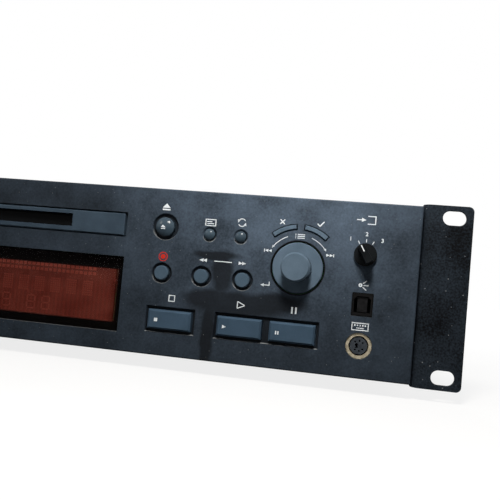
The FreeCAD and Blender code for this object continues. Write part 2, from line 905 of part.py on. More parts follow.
def slot_door():
    """The dust door, hung on two pins at its top edge."""
    width = "(slot_mouth_width - 2 * fit_gap)"
    left = "bezel_x - slot_mouth_width / 2 + fit_gap"
    height = "(slot_mouth_height - door_pin - 3 * fit_gap)"
    flap = box((left, "0 - door_sheet / 2", f"{DOOR_Z} - {height}"), (width, "door_sheet", height))
    barrel = cylinder((left, "0", DOOR_Z), "door_barrel", width, "X")
    pin_left, pin_length = "bezel_x - slot_mouth_width / 2 - door_pin_reach", "2 * door_pin_reach"
    pin = cylinder((pin_left, "0", DOOR_Z), "door_pin", f"slot_mouth_width + {pin_length}", "X")
    return keep(join(flap, barrel, pin), "slot_door")


def display_window():
    """The smoked window, with a thin seat round it behind the panel."""
    body = new_body("display_window", x="bezel_x", z="window_z")
    front = f"({FACE} + window_recess)"
    pane = Drawing(body, lift=f"0 - {front}")
    pane.rectangle("0", "0", "(window_width - 2 * fit_gap)", "(window_height - 2 * fit_gap)")
    pad(pane, f"{INSIDE} - {front}")
    seat = Drawing(body, lift=f"0 - {INSIDE}")
    seat.rectangle("0", "0", "(window_width + 2 * seat_lip)", "(window_height + seat_lip)")
    pad(seat, "seat_sheet")
    return body


def display_tube():
    """The flat glass display tube, with its sealed tip at one end."""
    body = new_body("display_tube", x="bezel_x", z="window_z")
    front = Drawing(body, lift=f"0 - {TUBE_FRONT}")
    front.rectangle("0", "0", "tube_width", "tube_height")
    pad(front, "tube_depth")
    dress(body, "Fillet", "panel_edge", lambda e: at(e, "Y", mm(TUBE_FRONT)))
    tip = Drawing(body, "YZ", lift="tube_width / 2 - join_overlap")
    tip.circle(f"{TUBE_FRONT} + tube_depth / 2", "tip_rise", "tip_radius")
    pad(tip, "tip_length + join_overlap", against=False)
    return body


# --- Buttons ----------------------------------------------------------------------------------

POWER_STEM = f"({BOARD} + board_sheet + power_stem_reach)"
STEM_END = f"({BOARD} - switch_height - button_travel - button_gap)"


def flange_and_stem(body, x, z, width, height, stem_end=STEM_END):
    """The flange that keeps a key behind the wall, and the stem that presses its switch."""
    flange = f"({INSIDE} + button_gap)"
    wide = Drawing(body, lift=f"0 - {flange}")
    wide.rectangle(x, z, f"({width} + 2 * flange_lip)", f"({height} + 2 * flange_lip)")
    pad(wide, "button_flange")
    stem = Drawing(body, lift=f"0 - {flange}")
    stem.rectangle(x, z, "stem_side", "stem_side")
    pad(stem, f"{stem_end} - {flange}")


def turned_key(label, x, z):
    """A round key with a bevelled edge."""
    body = new_body(label, x=x, z=z)
    top = f"({FACE} - round_proud)"
    flange = f"({INSIDE} + button_gap)"
    turn(
        Drawing(body, "XY").loop(
            [
                ("0", top),
                ("round_radius - soft_edge", top),
                ("round_radius", f"{top} + soft_edge"),
                ("round_radius", flange),
                ("0", flange),
            ]
        )
    )
    flange_and_stem(body, "0", "0", "2 * round_radius", "2 * round_radius")
    return body


def domed_key(label, x, z, radius, proud, dome):
    """A round key under a dome, which is a slice of a ball."""
    body = new_body(label, x=x, z=z)
    top = f"({FACE} - {proud})"
    flange = f"({INSIDE} + button_gap)"
    pad(Drawing(body, lift=f"0 - {top}").circle("0", "0", radius), f"{flange} - {top}")
    ball = body.newObject("PartDesign::AdditiveSphere", "Dome")
    planes = body.Origin.OriginFeatures
    ball.AttachmentSupport = [(next(p for p in planes if p.Role == "XZ_Plane"), "")]
    ball.MapMode = "FlatFace"
    reach = f"(({radius} ^ 2 + {dome} ^ 2) / (2 * {dome}))"
    tie(ball, "Radius", reach)
    tie(ball, "Angle1", f"asin(1 - {dome} / {reach})")
    tie(ball, "AttachmentOffset.Base.z", f"0 - {top} - ({reach} - {dome})")
    flange_and_stem(body, "0", "0", f"2 * {radius}", f"2 * {radius}")
    return body


def oblong_key(label, x, width, stem_end=STEM_END):
    """An oblong key with bevelled edges, its flange and its stem."""
    body = new_body(label, x=x, z="key_z")
    top = f"({FACE} - key_proud)"
    flange = f"({INSIDE} + button_gap)"
    cap = Drawing(body, lift=f"0 - {top}")
    cap.rectangle("0", "0", width, "key_height")
    pad(cap, f"{flange} - {top}")
    dress(body, "Chamfer", "key_bevel", lambda e: at(e, "Y", mm(top)))
    flange_and_stem(body, "0", "0", width, "key_height", stem_end)
    return body


def arc_middle(start, end):
    """The middle of an arc key, where its stem and its switch are."""
    reach, angle = "((arc_inner + arc_outer) / 2)", f"(({start} + {end}) / 2)"
    return f"jog_x + {reach} * cos({angle})", f"jog_z + {reach} * sin({angle})"


def arc_key(label, start, end):
    """A key in the shape of a ring's piece, beside the jog dial."""
    body = new_body(label)
    top = f"({FACE} - arc_proud)"
    flange = f"({INSIDE} + button_gap)"
    degrees = "/ arc_inner * 180 / pi"
    low, high = f"({start} + arc_gap {degrees})", f"({end} - arc_gap {degrees})"
    cap = Drawing(body, lift=f"0 - {top}")
    cap.sector("jog_x", "jog_z", "(arc_inner + arc_gap)", "(arc_outer - arc_gap)", low, high)
    pad(cap, f"{flange} - {top}")
    dress(body, "Chamfer", "button_gap", lambda e: at(e, "Y", mm(top)))
    low, high = f"({start} - flange_lip {degrees})", f"({end} + flange_lip {degrees})"
    wide = Drawing(body, lift=f"0 - {flange}")
    wide.sector("jog_x", "jog_z", "(arc_inner - flange_lip)", "(arc_outer + flange_lip)", low, high)
    pad(wide, "button_flange")
    stem = Drawing(body, lift=f"0 - {flange}")
    stem.rectangle(*arc_middle(start, end), "stem_side", "stem_side")
    pad(stem, f"{STEM_END} - {flange}")
    return body


def buttons():
    """Every push button of the panel."""
    for label, x in ROUND_KEYS.items():
        turned_key(label, x, "round_row_z")
    turned_key("pitch_button", "pitch_x", "key_z")
    domed_key("eject_button", "eject_x", "eject_z", "eject_radius", "eject_proud", "eject_dome")
    for label, (x, z) in SMALL_KEYS.items():
        domed_key(label, x, z, "small_radius", "small_proud", "small_dome")
    for label, x in OBLONG_KEYS.items():
        oblong_key(label, x, KEY_WIDTH)
    oblong_key("power_button", "power_x", "power_width", stem_end=POWER_STEM)
    for label, (start, end) in ARC_KEYS.items():
        arc_key(label, start, end)


# --- Rotary controls --------------------------------------------------------------------------

ENCODER_FRONT = f"({INSIDE} + encoder_gap)"
POT_FRONT = f"({INSIDE} + 2 * fit_gap)"
SHAFT_END = f"({BOARD} + fit_gap)"
RING_FACE = f"({FACE} - input_ring_proud)"


def knob_profile(body, steps, end, bore="0"):
    """Revolves a knob from its steps, each a radius and the place where it starts, front to back."""
    points = [(bore, steps[0][1])]
    stops = [start for radius, start in steps[1:]] + [end]
    for (radius, start), stop in zip(steps, stops):
        points += [(radius, start), (radius, stop)]
    points.append((bore, end))
    turn(Drawing(body, "XY").loop(points))


def jog_dial():
    """The jog dial: a centre knob on a flat disc, on the encoder's shaft."""
    body = new_body("jog_dial", x="jog_x", z="jog_z")
    top = f"({FACE} - jog_proud)"
    disc = f"({FACE} - jog_disc_proud)"
    steps = [
        ("jog_knob_radius", top),
        ("jog_radius", disc),
        ("shaft_radius", f"({disc} + jog_disc_sheet)"),
    ]
    knob_profile(body, steps, end=f"({BOARD} + board_sheet)")
    dress(body, "Chamfer", "knob_bevel", lambda e: at(e, "Y", mm(top)))
    knob = mm("jog_knob_radius") + NEAR
    dress(body, "Chamfer", "soft_edge", lambda e: at(e, "Y", mm(disc)) and e.BoundBox.XMax > knob)
    return body


def jog_encoder():
    """The encoder that the dial's shaft turns in, and the push switch behind its board."""
    left, low = "jog_x - encoder_side / 2", "jog_z - encoder_side / 2"
    bore, thickness = "shaft_radius + bore_play", f"{BOARD} - {ENCODER_FRONT}"
    front = box((left, ENCODER_FRONT, low), ("encoder_side", thickness, "encoder_side"))
    bush = cylinder(("jog_x", ENCODER_FRONT, "jog_z"), bore, thickness)
    behind = f"({BOARD} + board_sheet)"
    rear = box((left, behind, low), ("encoder_side", "encoder_depth", "encoder_side"))
    well = cylinder(("jog_x", behind, "jog_z"), bore, "encoder_depth - board_sheet")
    return keep(group(cut(front, bush), cut(rear, well)), "jog_encoder")


def jog_plunger():
    """The plunger of the push switch, which the dial's shaft rests on."""
    start = f"({BOARD} + board_sheet + 2 * bore_play)"
    return keep(cylinder(("jog_x", start, "jog_z"), "shaft_radius", "plunger_depth"), "jog_plunger")


def selector_knob():
    """A pointer knob on a round skirt, turned to its first place."""
    body = new_body("selector_knob", x="selector_x", z="selector_z")
    body.Placement.Rotation = FreeCAD.Rotation(Vector(0, -1, 0), 10)
    tie(body, "Placement.Rotation.Angle", "selector_turn")
    back = f"({FACE} - button_gap)"
    skirt = f"({back} - selector_skirt)"
    top = f"({FACE} - selector_proud)"
    steps = [
        ("selector_radius - selector_inset", skirt),
        ("selector_radius", f"({skirt} + selector_inset)"),
        ("shaft_radius", back),
    ]
    knob_profile(body, steps, end=SHAFT_END)
    grip = Drawing(body, lift=f"0 - {top}")
    half, reach = "selector_grip / 2", "(selector_radius - selector_inset)"
    shoulder = f"({reach} - selector_inset)"
    grip.loop(
        [
            (f"0 - {half}", f"0 - {shoulder}"),
            (half, f"0 - {shoulder}"),
            (half, shoulder),
            (f"{half} - selector_inset", reach),
            (f"selector_inset - {half}", reach),
            (f"0 - {half}", shoulder),
        ]
    )
    pad(grip, f"{skirt} - {top}")
    dress(body, "Fillet", "soft_edge", lambda e: at(e, "Y", mm(top)))
    return body


def level_mark(body, top, radius):
    """The notch in a knob's face that shows its level."""
    mark = Drawing(body, lift=f"0 - {top}")
    mark.rectangle("0", f"({radius} - mark_inset)", "mark_width", "mark_length")
    pocket(mark, "mark_depth")


def plain_knob(label, x, top, back):
    """A level knob on its shaft."""
    body = new_body(label, x=x, z="knob_z")
    knob_profile(body, [("knob_radius", top), ("shaft_radius", back)], end=SHAFT_END)
    dress(body, "Chamfer", "knob_bevel", lambda e: at(e, "Y", mm(top)))
    level_mark(body, top, "knob_radius")
    return body


def input_ring():
    """The outer ring of the two-channel input level control, round its hollow shaft."""
    body = new_body("input_ring", x="input_x", z="knob_z")
    steps = [("input_radius", RING_FACE), ("ring_shaft", f"({FACE} - button_gap)")]
    knob_profile(body, steps, end=f"({BOARD} - ring_stop)", bore="shaft_radius + fit_gap")
    bore = mm("ring_shaft")
    dress(
        body,
        "Chamfer",
        "knob_bevel",
        lambda e: at(e, "Y", mm(RING_FACE)) and e.BoundBox.XMax > bore,
    )
    level_mark(body, RING_FACE, "input_radius")
    return body


def knobs():
    """Every knob of the panel's left half."""
    for label, x in (("phones_knob", "phones_x"), ("pitch_knob", "pitch_x")):
        plain_knob(label, x, f"({FACE} - knob_proud)", f"({FACE} - button_gap)")
    input_ring()
    plain_knob("input_knob", "input_x", f"({RING_FACE} - input_knob_over)", f"({RING_FACE} - button_gap)")


def control_block(x, z, shaft):
    """The block that a knob's shaft turns in."""
    low = (f"{x} - control_side / 2", POT_FRONT, f"{z} - control_side / 2")
    block = box(low, ("control_side", f"{BOARD} - {POT_FRONT}", "control_side"))
    return cut(block, cylinder((x, POT_FRONT, z), f"{shaft} + bore_play", f"{BOARD} - {POT_FRONT}"))


def control_pots():
    """The potentiometers behind the three level and pitch controls."""
    pots = [control_block(x, "knob_z", "shaft_radius") for x in ("phones_x", "pitch_x")]
    pots.append(control_block("input_x", "knob_z", "ring_shaft"))
    return keep(group(*pots), "control_pots")


def selector_switch():
    """The rotary switch that the selector knob turns."""
    return keep(control_block("selector_x", "selector_z", "shaft_radius"), "selector_switch")


# --- Slide and push switches at the left end ---------------------------------------------------

def power_switch():
    """The push switch behind the power key."""
    front = f"({BOARD} + board_sheet)"
    case = box(
        ("power_x - power_switch_width / 2", front, "key_z - power_switch_height / 2"),
        ("power_switch_width", "power_switch_depth", "power_switch_height"),
    )
    side = "(stem_side + 2 * fit_gap)"
    well = box(
        (f"power_x - {side} / 2", front, f"key_z - {side} / 2"), (side, "power_well", side)
    )
    return keep(cut(case, well), "power_switch")


def timer_lever():
    """The timer slide: a nub on a flange that hides its slot."""
    body = new_body("timer_lever", x="power_x", z="timer_z")
    top = f"({FACE} - timer_proud)"
    flange = f"({INSIDE} + button_gap)"
    side = "(timer_width - 2 * timer_travel - 2 * fit_gap)"
    nub = Drawing(body, lift=f"0 - {top}")
    nub.rectangle("0", "0", side, "(timer_height - 2 * fit_gap)")
    pad(nub, f"{flange} - {top}")
    dress(body, "Chamfer", "soft_edge", lambda e: at(e, "Y", mm(top)))
    cover, height = "(timer_width + 2 * timer_travel)", "(timer_height + 2 * flange_lip)"
    wide = Drawing(body, lift=f"0 - {flange}")
    wide.rectangle("0", "0", cover, height)
    pad(wide, "button_flange")
    return body


def timer_switch():
    """The slide switch behind the timer lever."""
    front = f"({INSIDE} + 2 * button_gap + button_flange)"
    case = box(
        ("power_x - timer_switch_width / 2", front, "timer_z - timer_switch_height / 2"),
        ("timer_switch_width", f"{BOARD} - {front}", "timer_switch_height"),
    )
    return keep(case, "timer_switch")


def phones_jack():
    """The headphone jack: body, threaded bush through the panel, nut, and bore."""
    body = new_body("phones_jack", x="phones_x", z="key_z")
    case = Drawing(body, lift=f"0 - {INSIDE}")
    case.rectangle("0", "0", "jack_side", "jack_side")
    pad(case, "jack_depth")
    front = f"({FACE} - jack_bush_proud)"
    bush = Drawing(body, lift=f"0 - {front}")
    bush.circle("0", "0", "jack_bush")
    pad(bush, f"{INSIDE} - {front}")
    nut = Drawing(body, lift=f"0 - ({FACE} - jack_nut_proud)")
    nut.loop([(f"jack_nut * cos({60 * n})", f"jack_nut * sin({60 * n})") for n in range(6)])
    pad(nut, "jack_nut_proud")
    bore = Drawing(body, lift=f"0 - {front}")
    bore.circle("0", "0", "jack_bore")
    pocket(bore, "jack_depth")
    return body


# --- Sockets at the right end ------------------------------------------------------------------

OPTICAL_FACE = f"({FACE} + fit_gap)"
SHUTTER_Y = f"({OPTICAL_FACE} + shutter_inset)"
SHUTTER_Z = "(optical_z + optical_mouth / 2 - door_pin - fit_gap)"
SOCKET_END = f"({RIM} - button_gap)"


def optical_input():
    """The optical input's shell, with its two cut upper corners and the shutter's pin holes."""
    body = new_body("optical_input", x="optical_x", z="optical_z")
    shell = Drawing(body, lift=f"0 - {OPTICAL_FACE}")
    shell.rectangle("0", "0", "optical_width", "optical_height")
    pad(shell, f"{SOCKET_END} - {OPTICAL_FACE}")
    flange = Drawing(body, lift=f"0 - {INSIDE}")
    flange.rectangle(
        "0", "0", "(optical_width + 2 * socket_lip)", "(optical_height + 2 * socket_lip)"
    )
    pad(flange, "seat_sheet")
    half, shoulder = "optical_mouth / 2", "(optical_mouth / 2 - mouth_cut)"
    mouth = Drawing(body, lift=f"0 - {OPTICAL_FACE}")
    mouth.loop(
        [
            (f"0 - {half}", f"0 - {half}"),
            (half, f"0 - {half}"),
            (half, shoulder),
            (shoulder, half),
            (f"0 - {shoulder}", half),
            (f"0 - {half}", shoulder),
        ]
    )
    pocket(mouth, f"{SOCKET_END} - {OPTICAL_FACE} - socket_wall")
    pins = Drawing(body, "YZ", lift="0 - optical_mouth / 2")
    pins.circle(SHUTTER_Y, f"{SHUTTER_Z} - optical_z", "door_pin + bore_play")
    pocket(pins, "optical_mouth", against=False)
    return body


def optical_shutter():
    """The shutter that a plug swings inwards."""
    width = "(optical_mouth - 2 * mouth_cut - 2 * fit_gap)"
    drop = "(optical_mouth - door_pin - 3 * fit_gap)"
    low = (f"optical_x - {width} / 2", f"{SHUTTER_Y} - door_sheet / 2", f"{SHUTTER_Z} - {drop}")
    flap = box(low, (width, "door_sheet", drop))
    left, length = "optical_x - optical_mouth / 2 + fit_gap", "optical_mouth - 2 * fit_gap"
    pin = cylinder((left, SHUTTER_Y, SHUTTER_Z), "door_pin", length, "X")
    return keep(join(flap, pin), "optical_shutter")


def keyboard_socket():
    """The round shell of the keyboard socket, with a flange behind the panel."""
    body = new_body("keyboard_socket", x="keyboard_x", z="keyboard_z")
    face = f"({FACE} + keyboard_inset)"
    turn(
        Drawing(body, "XY").loop(
            [
                ("keyboard_bore", face),
                ("keyboard_radius", face),
                ("keyboard_radius", INSIDE),
                ("keyboard_radius + socket_lip", INSIDE),
                ("keyboard_radius + socket_lip", f"({INSIDE} + seat_sheet)"),
                ("keyboard_radius", f"({INSIDE} + seat_sheet)"),
                ("keyboard_radius", SOCKET_END),
                ("0", SOCKET_END),
                ("0", f"({SOCKET_END} - socket_wall)"),
                ("keyboard_bore", f"({SOCKET_END} - socket_wall)"),
            ]
        )
    )
    return body


def keyboard_insert():
    """The socket's insert, with six pin holes round a key slot."""
    body = new_body("keyboard_insert", x="keyboard_x", z="keyboard_z")
    face = f"({FACE} + keyboard_inset + fit_gap)"
    post = Drawing(body, lift=f"0 - {face}")
    post.circle("0", "0", "keyboard_insert")
    pad(post, f"{SOCKET_END} - socket_wall - {face}")
    holes = Drawing(body, lift=f"0 - {face}")
    for angle in (40, 80, 130, 230, 280, 320):
        holes.circle(
            f"contact_ring * cos({angle})", f"contact_ring * sin({angle})", "contact_hole"
        )
    holes.rectangle("0 - 2 * contact_hole", "0", "insert_key_width", "insert_key_height")
    pocket(holes, "contact_depth")
    return body


# --- Boards on the front panel -----------------------------------------------------------------


def board(outline, front, *tools):
    """A circuit board by its outline, with what passes through it cut out."""
    x, z, width, height = outline
    low = (f"{x} - {width} / 2", front, f"{z} - {height} / 2")
    plate = box(low, (width, "board_sheet", height))
    return cut(plate, *tools) if tools else plate


def notch(x, z, width, height):
    """A square hole through the boards behind the panel."""
    return box(
        (f"{x} - ({width}) / 2", BOARD, f"{z} - ({height}) / 2"), (width, "board_sheet", height)
    )


def panel_boards():
    """The four boards behind the panel, with a push switch behind each key."""
    drill = "shaft_radius + shaft_clear"
    key_board = board(
        KEY_BOARD,
        BOARD,
        cylinder(("jog_x", BOARD, "jog_z"), drill, "board_sheet"),
        cylinder(("selector_x", BOARD, "selector_z"), drill, "board_sheet"),
        cylinder(("keyboard_x", BOARD, "keyboard_z"), "keyboard_radius + fit_gap", "board_sheet"),
        notch("optical_x", "optical_z", "optical_width + shaft_clear", "optical_height + shaft_clear"),
    )
    level_board = board(
        LEVEL_BOARD,
        BOARD,
        notch("phones_x", "key_z", "jack_side + shaft_clear", "jack_side + shaft_clear"),
        *[
            cylinder((x, BOARD, "knob_z"), drill, "board_sheet")
            for x in ("phones_x", "pitch_x", "input_x")
        ],
    )
    well = "stem_side + 2 * shaft_clear"
    power_board = board(POWER_BOARD, BOARD, notch("power_x", "key_z", well, well))
    display_board = board(DISPLAY_BOARD, DISPLAY_BACK)
    spots = [*ROUND_SPOTS, ("eject_x", "eject_z"), *SMALL_KEYS.values()]
    spots += [(x, "key_z") for x in OBLONG_KEYS.values()]
    spots += [arc_middle(*angles) for angles in ARC_KEYS.values()]
    start = f"{BOARD} - switch_height"
    switches = [
        box(
            (f"{x} - switch_side / 2", start, f"{z} - switch_side / 2"),
            ("switch_side", "switch_height", "switch_side"),
        )
        for x, z in spots
    ]
    return keep(group(key_board, level_board, power_board, display_board, *switches), "panel_boards")


# --- Rack ears ---------------------------------------------------------------------------------

EAR_HALF = "(case_height / 2 + ear_over)"
EAR_SCREW_Z = "(case_height / 2 - ear_screw_drop)"
LOW_SCREW_Z = "(low_screw_rise - case_height / 2)"
EAR_SCREWS = [
    ("ear_depth / 4", EAR_SCREW_Z),
    ("ear_depth / 4", f"(0 - {EAR_SCREW_Z})"),
    ("ear_depth - ear_screw_back", "(ear_screw_rise - case_height / 2)"),
]


def rack_ears():
    """The right ear, a bent angle with two slots, and its mirror image on the left."""
    body = new_body("rack_ear_right")
    side, edge = "case_width / 2", "case_width / 2 + ear_reach"
    angle = Drawing(body, "XY", lift=f"0 - {EAR_HALF}")
    angle.loop(
        [
            (side, "0 - ear_sheet"),
            (edge, "0 - ear_sheet"),
            (edge, "0"),
            (f"{side} + ear_sheet", "0"),
            (f"{side} + ear_sheet", "ear_depth"),
            (side, "ear_depth"),
        ]
    )
    pad(angle, f"2 * {EAR_HALF}", against=False)
    near, inner = mm(side), mm(f"{side} + ear_sheet")
    for radius, x, y in (
        ("ear_bend", near, -mm("ear_sheet")),
        ("ear_bend - ear_sheet", inner, 0.0),
    ):
        dress(body, "Fillet", radius, lambda e: at(e, "X", x) and at(e, "Y", y))
    trim = Drawing(body, "YZ", lift=side)
    spare = "(ear_over + ear_under)"
    for sign in ("", "0 - "):
        height = f"({sign}({EAR_HALF} - {spare} / 2))"
        trim.rectangle(f"({RIM} + ear_depth) / 2", height, f"(ear_depth - {RIM})", spare)
    pocket(trim, "ear_sheet", against=False)
    slots = Drawing(body, lift="ear_sheet")
    for sign in ("", "0 - "):
        height = f"{sign}({EAR_HALF} - slot_margin)"
        slots.slot(f"({edge} - slot_inset)", height, "slot_length", "slot_width")
    pocket(slots, "ear_sheet")
    screws = Drawing(body, "YZ", lift=side)
    for y, z in EAR_SCREWS:
        screws.circle(y, z, "screw_hole")
    pocket(screws, "ear_sheet", against=False)
    outer = mm(edge)
    dress(body, "Fillet", "ear_corner", lambda e: along(e, "y") and at(e, "X", outer))
    left = doc.addObject("Part::Mirroring", "Mirror")
    left.Source = body
    left.Normal = Vector(1, 0, 0)
    keep(left, "rack_ear_left")


def screw(start, inwards, length):
    """A pan head screw from the middle of its seat, pointing inwards along X."""
    body = doc.addObject("PartDesign::Body", "Screw")
    for name, expression in zip("xyz", start):
        tie(body, "Placement.Base." + name, expression)
    body.Placement.Rotation = FreeCAD.Rotation(Vector(0, 1, 0), Vector(inwards, 0, 0))
    turn(
        Drawing(body, "XY").loop(
            [
                ("0", "0 - screw_head_height"),
                ("screw_head - screw_head_edge", "0 - screw_head_height"),
                ("screw_head", "screw_head_edge - screw_head_height"),
                ("screw_head", "0"),
                ("screw_radius", "0"),
                ("screw_radius", length),
                ("0", length),
            ]
        )
    )
    return body


def side_screws(label, seat, spots, length):
    """The same screws through both sides of the case."""
    screws = []
    for sign, inwards in (("", -1), ("0 - ", 1)):
        screws += [screw((f"{sign}({seat})", y, z), inwards, length) for y, z in spots]
    return keep(group(*screws), label)


# --- Case --------------------------------------------------------------------------------------

SIDE_SCREWS = [
    (f"({CASE_END} - screw_inset - {n} * screw_pitch)", LOW_SCREW_Z) for n in range(3)
]
FOOT_SPOTS = [
    (f"({side}foot_x)", y)
    for y in (f"({RIM} + foot_front)", f"({CASE_END} - foot_back)")
    for side in ("0 - ", "")
]
REAR_FACE = f"({CASE_END} - rear_sheet)"


def chassis_pan():
    """The bottom pan, folded up along both sides."""
    body = new_body("chassis_pan")
    low = "(0 - case_height / 2)"
    floor = Drawing(body, lift=f"0 - {RIM}")
    floor.rectangle("0", f"{low} + pan_sheet / 2", f"(2 * {INNER_HALF})", "pan_sheet")
    pad(floor, f"{CASE_END} - {RIM}")
    start = f"({RIM} + frame_sheet + fit_gap)"
    flanges = Drawing(body, lift=f"0 - {start}")
    for sign in ("0 - ", ""):
        flanges.rectangle(
            f"({sign}({INNER_HALF} - pan_sheet / 2))",
            f"{low} + pan_flange / 2",
            "pan_sheet",
            "pan_flange",
        )
    pad(flanges, f"{REAR_FACE} - fit_gap - {start}")
    holes = Drawing(body, "YZ", lift=f"0 - {INNER_HALF} - 1")
    for y, z in [EAR_SCREWS[2], *SIDE_SCREWS]:
        holes.circle(y, z, "screw_hole")
    pocket(holes, f"2 * {INNER_HALF} + 2", against=False)
    vents = Drawing(body, "XY", lift=low)
    for x in ("(0 - vent_x)", "(vent_x / 2)", "vent_x"):
        vents.rectangle(x, f"({RIM} + case_depth / 3)", "vent_length", "vent_width")
    pocket(vents, "pan_sheet", against=False)
    repeat_back(body, "floor_vent_count")
    return body


def repeat_back(body, count):
    """Repeats a body's last cut in a row towards the back."""
    row = body.newObject("PartDesign::LinearPattern", "Row")
    last = body.Tip
    row.Originals = [last]
    row.Direction = (last.Profile[0], ["V_Axis"])
    tie(row, "Length", f"vent_pitch * ({count} - 1)")
    tie(row, "Occurrences", count)
    body.Tip = row
    return row


def top_cover():
    """The folded cover: its top with rows of vents and its two sides."""
    body = new_body("top_cover")
    half, low = "case_width / 2", "(0 - case_height / 2 + pan_sheet + fit_gap)"
    inner = f"({half} - cover_sheet)"
    under = f"({CASE_TOP} - cover_sheet)"
    fold = Drawing(body, lift=f"0 - {RIM}")
    fold.loop(
        [
            (f"0 - {half}", low),
            (f"0 - {inner}", low),
            (f"0 - {inner}", under),
            (inner, under),
            (inner, low),
            (half, low),
            (half, CASE_TOP),
            (f"0 - {half}", CASE_TOP),
        ]
    )
    pad(fold, f"{CASE_END} - {RIM}")
    top, beneath = mm(CASE_TOP), mm(under)
    dress(body, "Fillet", "1.5 * cover_sheet", lambda e: along(e, "y") and at(e, "Z", top))
    dress(body, "Fillet", "0.5 * cover_sheet", lambda e: along(e, "y") and at(e, "Z", beneath))
    holes = Drawing(body, "YZ", lift=f"0 - {half} - 1")
    for y, z in [*EAR_SCREWS, *SIDE_SCREWS]:
        holes.circle(y, z, "screw_hole")
    pocket(holes, "case_width + 2", against=False)
    vents = Drawing(body, "XY", lift=CASE_TOP)
    for x in ("(0 - vent_x - vent_step)", "(0 - vent_x)", "(vent_x - vent_step)", "vent_x"):
        vents.rectangle(x, f"({RIM} + case_depth / 2)", "vent_length", "vent_width")
    pocket(vents, "2 * cover_sheet")
    repeat_back(body, "vent_count")
    return body


def feet():
    """Four round feet under the pan, each with its screw's recess."""
    low = "(0 - case_height / 2)"
    made = []
    for x, y in FOOT_SPOTS:
        start = (x, y, f"{low} - foot_height")
        body = cone(start, "foot_radius", "foot_radius + foot_flare", "foot_height", "Z")
        made.append(cut(body, cylinder(start, "foot_recess", "foot_height - foot_floor", "Z")))
    return keep(group(*made), "feet")


# --- Rear panel and its connectors ---------------------------------------------------------------

XLR_IN = ["(xlr_in_x - xlr_pitch / 2)", "(xlr_in_x + xlr_pitch / 2)"]
XLR_OUT = ["(xlr_out_x - xlr_pitch / 2)", "(xlr_out_x + xlr_pitch / 2)"]
PHONO_X = [f"(phono_x + {n} * phono_pitch)" for n in (-1, 0, 1)]
PHONO_Z = ["(phono_rise / 2)", "(0 - phono_rise / 2)"]
OPTICAL_OUT = ["(port_x - port_pitch / 2)", "(port_x + port_pitch / 2)"]


def rear_panel():
    """The rear panel, folded forward along its sides, with its connector holes."""
    body = new_body("rear_panel")
    low, high = PAN_FLOOR, f"({CASE_TOP} - cover_sheet - fit_gap)"
    face = Drawing(body, lift=f"0 - {REAR_FACE}")
    face.rectangle("0", f"({low} + {high}) / 2", f"(2 * {INNER_HALF})", f"({high} - {low})")
    pad(face, "rear_sheet")
    lips = Drawing(body, lift=f"0 - {REAR_FACE}")
    for z in (f"{low} + rear_sheet / 2", f"{high} - rear_sheet / 2"):
        lips.rectangle("0", z, f"(2 * ({INNER_HALF} - lip_inset))", "rear_sheet")
    pad(lips, "rear_lip", against=False)
    holes = Drawing(body, lift=f"0 - {REAR_FACE}")
    for x in (*XLR_IN, *XLR_OUT):
        holes.circle(x, "0", "xlr_radius + fit_gap")
    for x in PHONO_X:
        for z in PHONO_Z:
            holes.circle(x, z, "phono_radius + fit_gap")
    for x in OPTICAL_OUT:
        holes.rectangle(x, "0", "(port_side + 2 * fit_gap)", "(port_side + 2 * fit_gap)")
    holes.rectangle("inlet_x", "0", "inlet_width", "inlet_height")
    pocket(holes, "rear_sheet")
    return body


def centred(x, start, width, depth, height):
    """A box round the line through a place on the rear panel."""
    return box((f"{x} - {width} / 2", start, f"0 - {height} / 2"), (width, depth, height))


def xlr_connectors():
    """Two sockets for inputs, with three contact holes, and two for outputs, with three pins."""
    made = []
    for x in (*XLR_IN, *XLR_OUT):
        plate = centred(x, CASE_END, "xlr_plate_width", "plate_sheet", "xlr_plate_height")
        front = f"{CASE_END} - xlr_depth"
        barrel = cylinder((x, front, "0"), "xlr_radius", "xlr_depth + plate_sheet")
        shell = join(plate, barrel)
        spots = [(f"({x} + xlr_ring * cos({a}))", f"xlr_ring * sin({a})") for a in (90, 210, 330)]
        if x in XLR_IN:
            start, length = f"{CASE_END} - xlr_hole_depth", "xlr_hole_depth + plate_sheet"
            drills = [cylinder((px, start, pz), "xlr_hole", length) for px, pz in spots]
            made.append(cut(shell, *drills))
        else:
            start, length = f"{CASE_END} - xlr_cup_depth", "xlr_cup_depth + plate_sheet"
            cup = cylinder((x, start, "0"), "xlr_cup", length)
            start = f"{CASE_END} - xlr_cup_depth - join_overlap"
            length = "xlr_cup_depth + join_overlap - xlr_pin_inset"
            pins = [cylinder((px, start, pz), "xlr_pin", length) for px, pz in spots]
            made.append(join(cut(shell, cup), *pins))
    return keep(group(*made), "xlr_connectors")


def phono_jacks():
    """Six phono sockets on one moulded block behind the rear panel."""
    columns, rows = PHONO_X, PHONO_Z
    left = f"({columns[0]} - phono_radius - phono_side)"
    low = f"({rows[-1]} - phono_radius - phono_end)"
    width = f"({columns[-1]} - ({columns[0]}) + 2 * (phono_radius + phono_side))"
    height = f"({rows[0]} - ({rows[-1]}) + 2 * (phono_radius + phono_end))"
    block = box((left, f"{REAR_FACE} - phono_depth", low), (width, "phono_depth", height))
    barrels = []
    bores = []
    for x in columns:
        for z in rows:
            barrels.append(cylinder((x, REAR_FACE, z), "phono_radius", "rear_sheet + phono_proud"))
            bores.append(cylinder((x, CASE_END, z), "phono_bore", "phono_proud"))
    return keep(cut(join(block, *barrels), *bores), "phono_jacks")


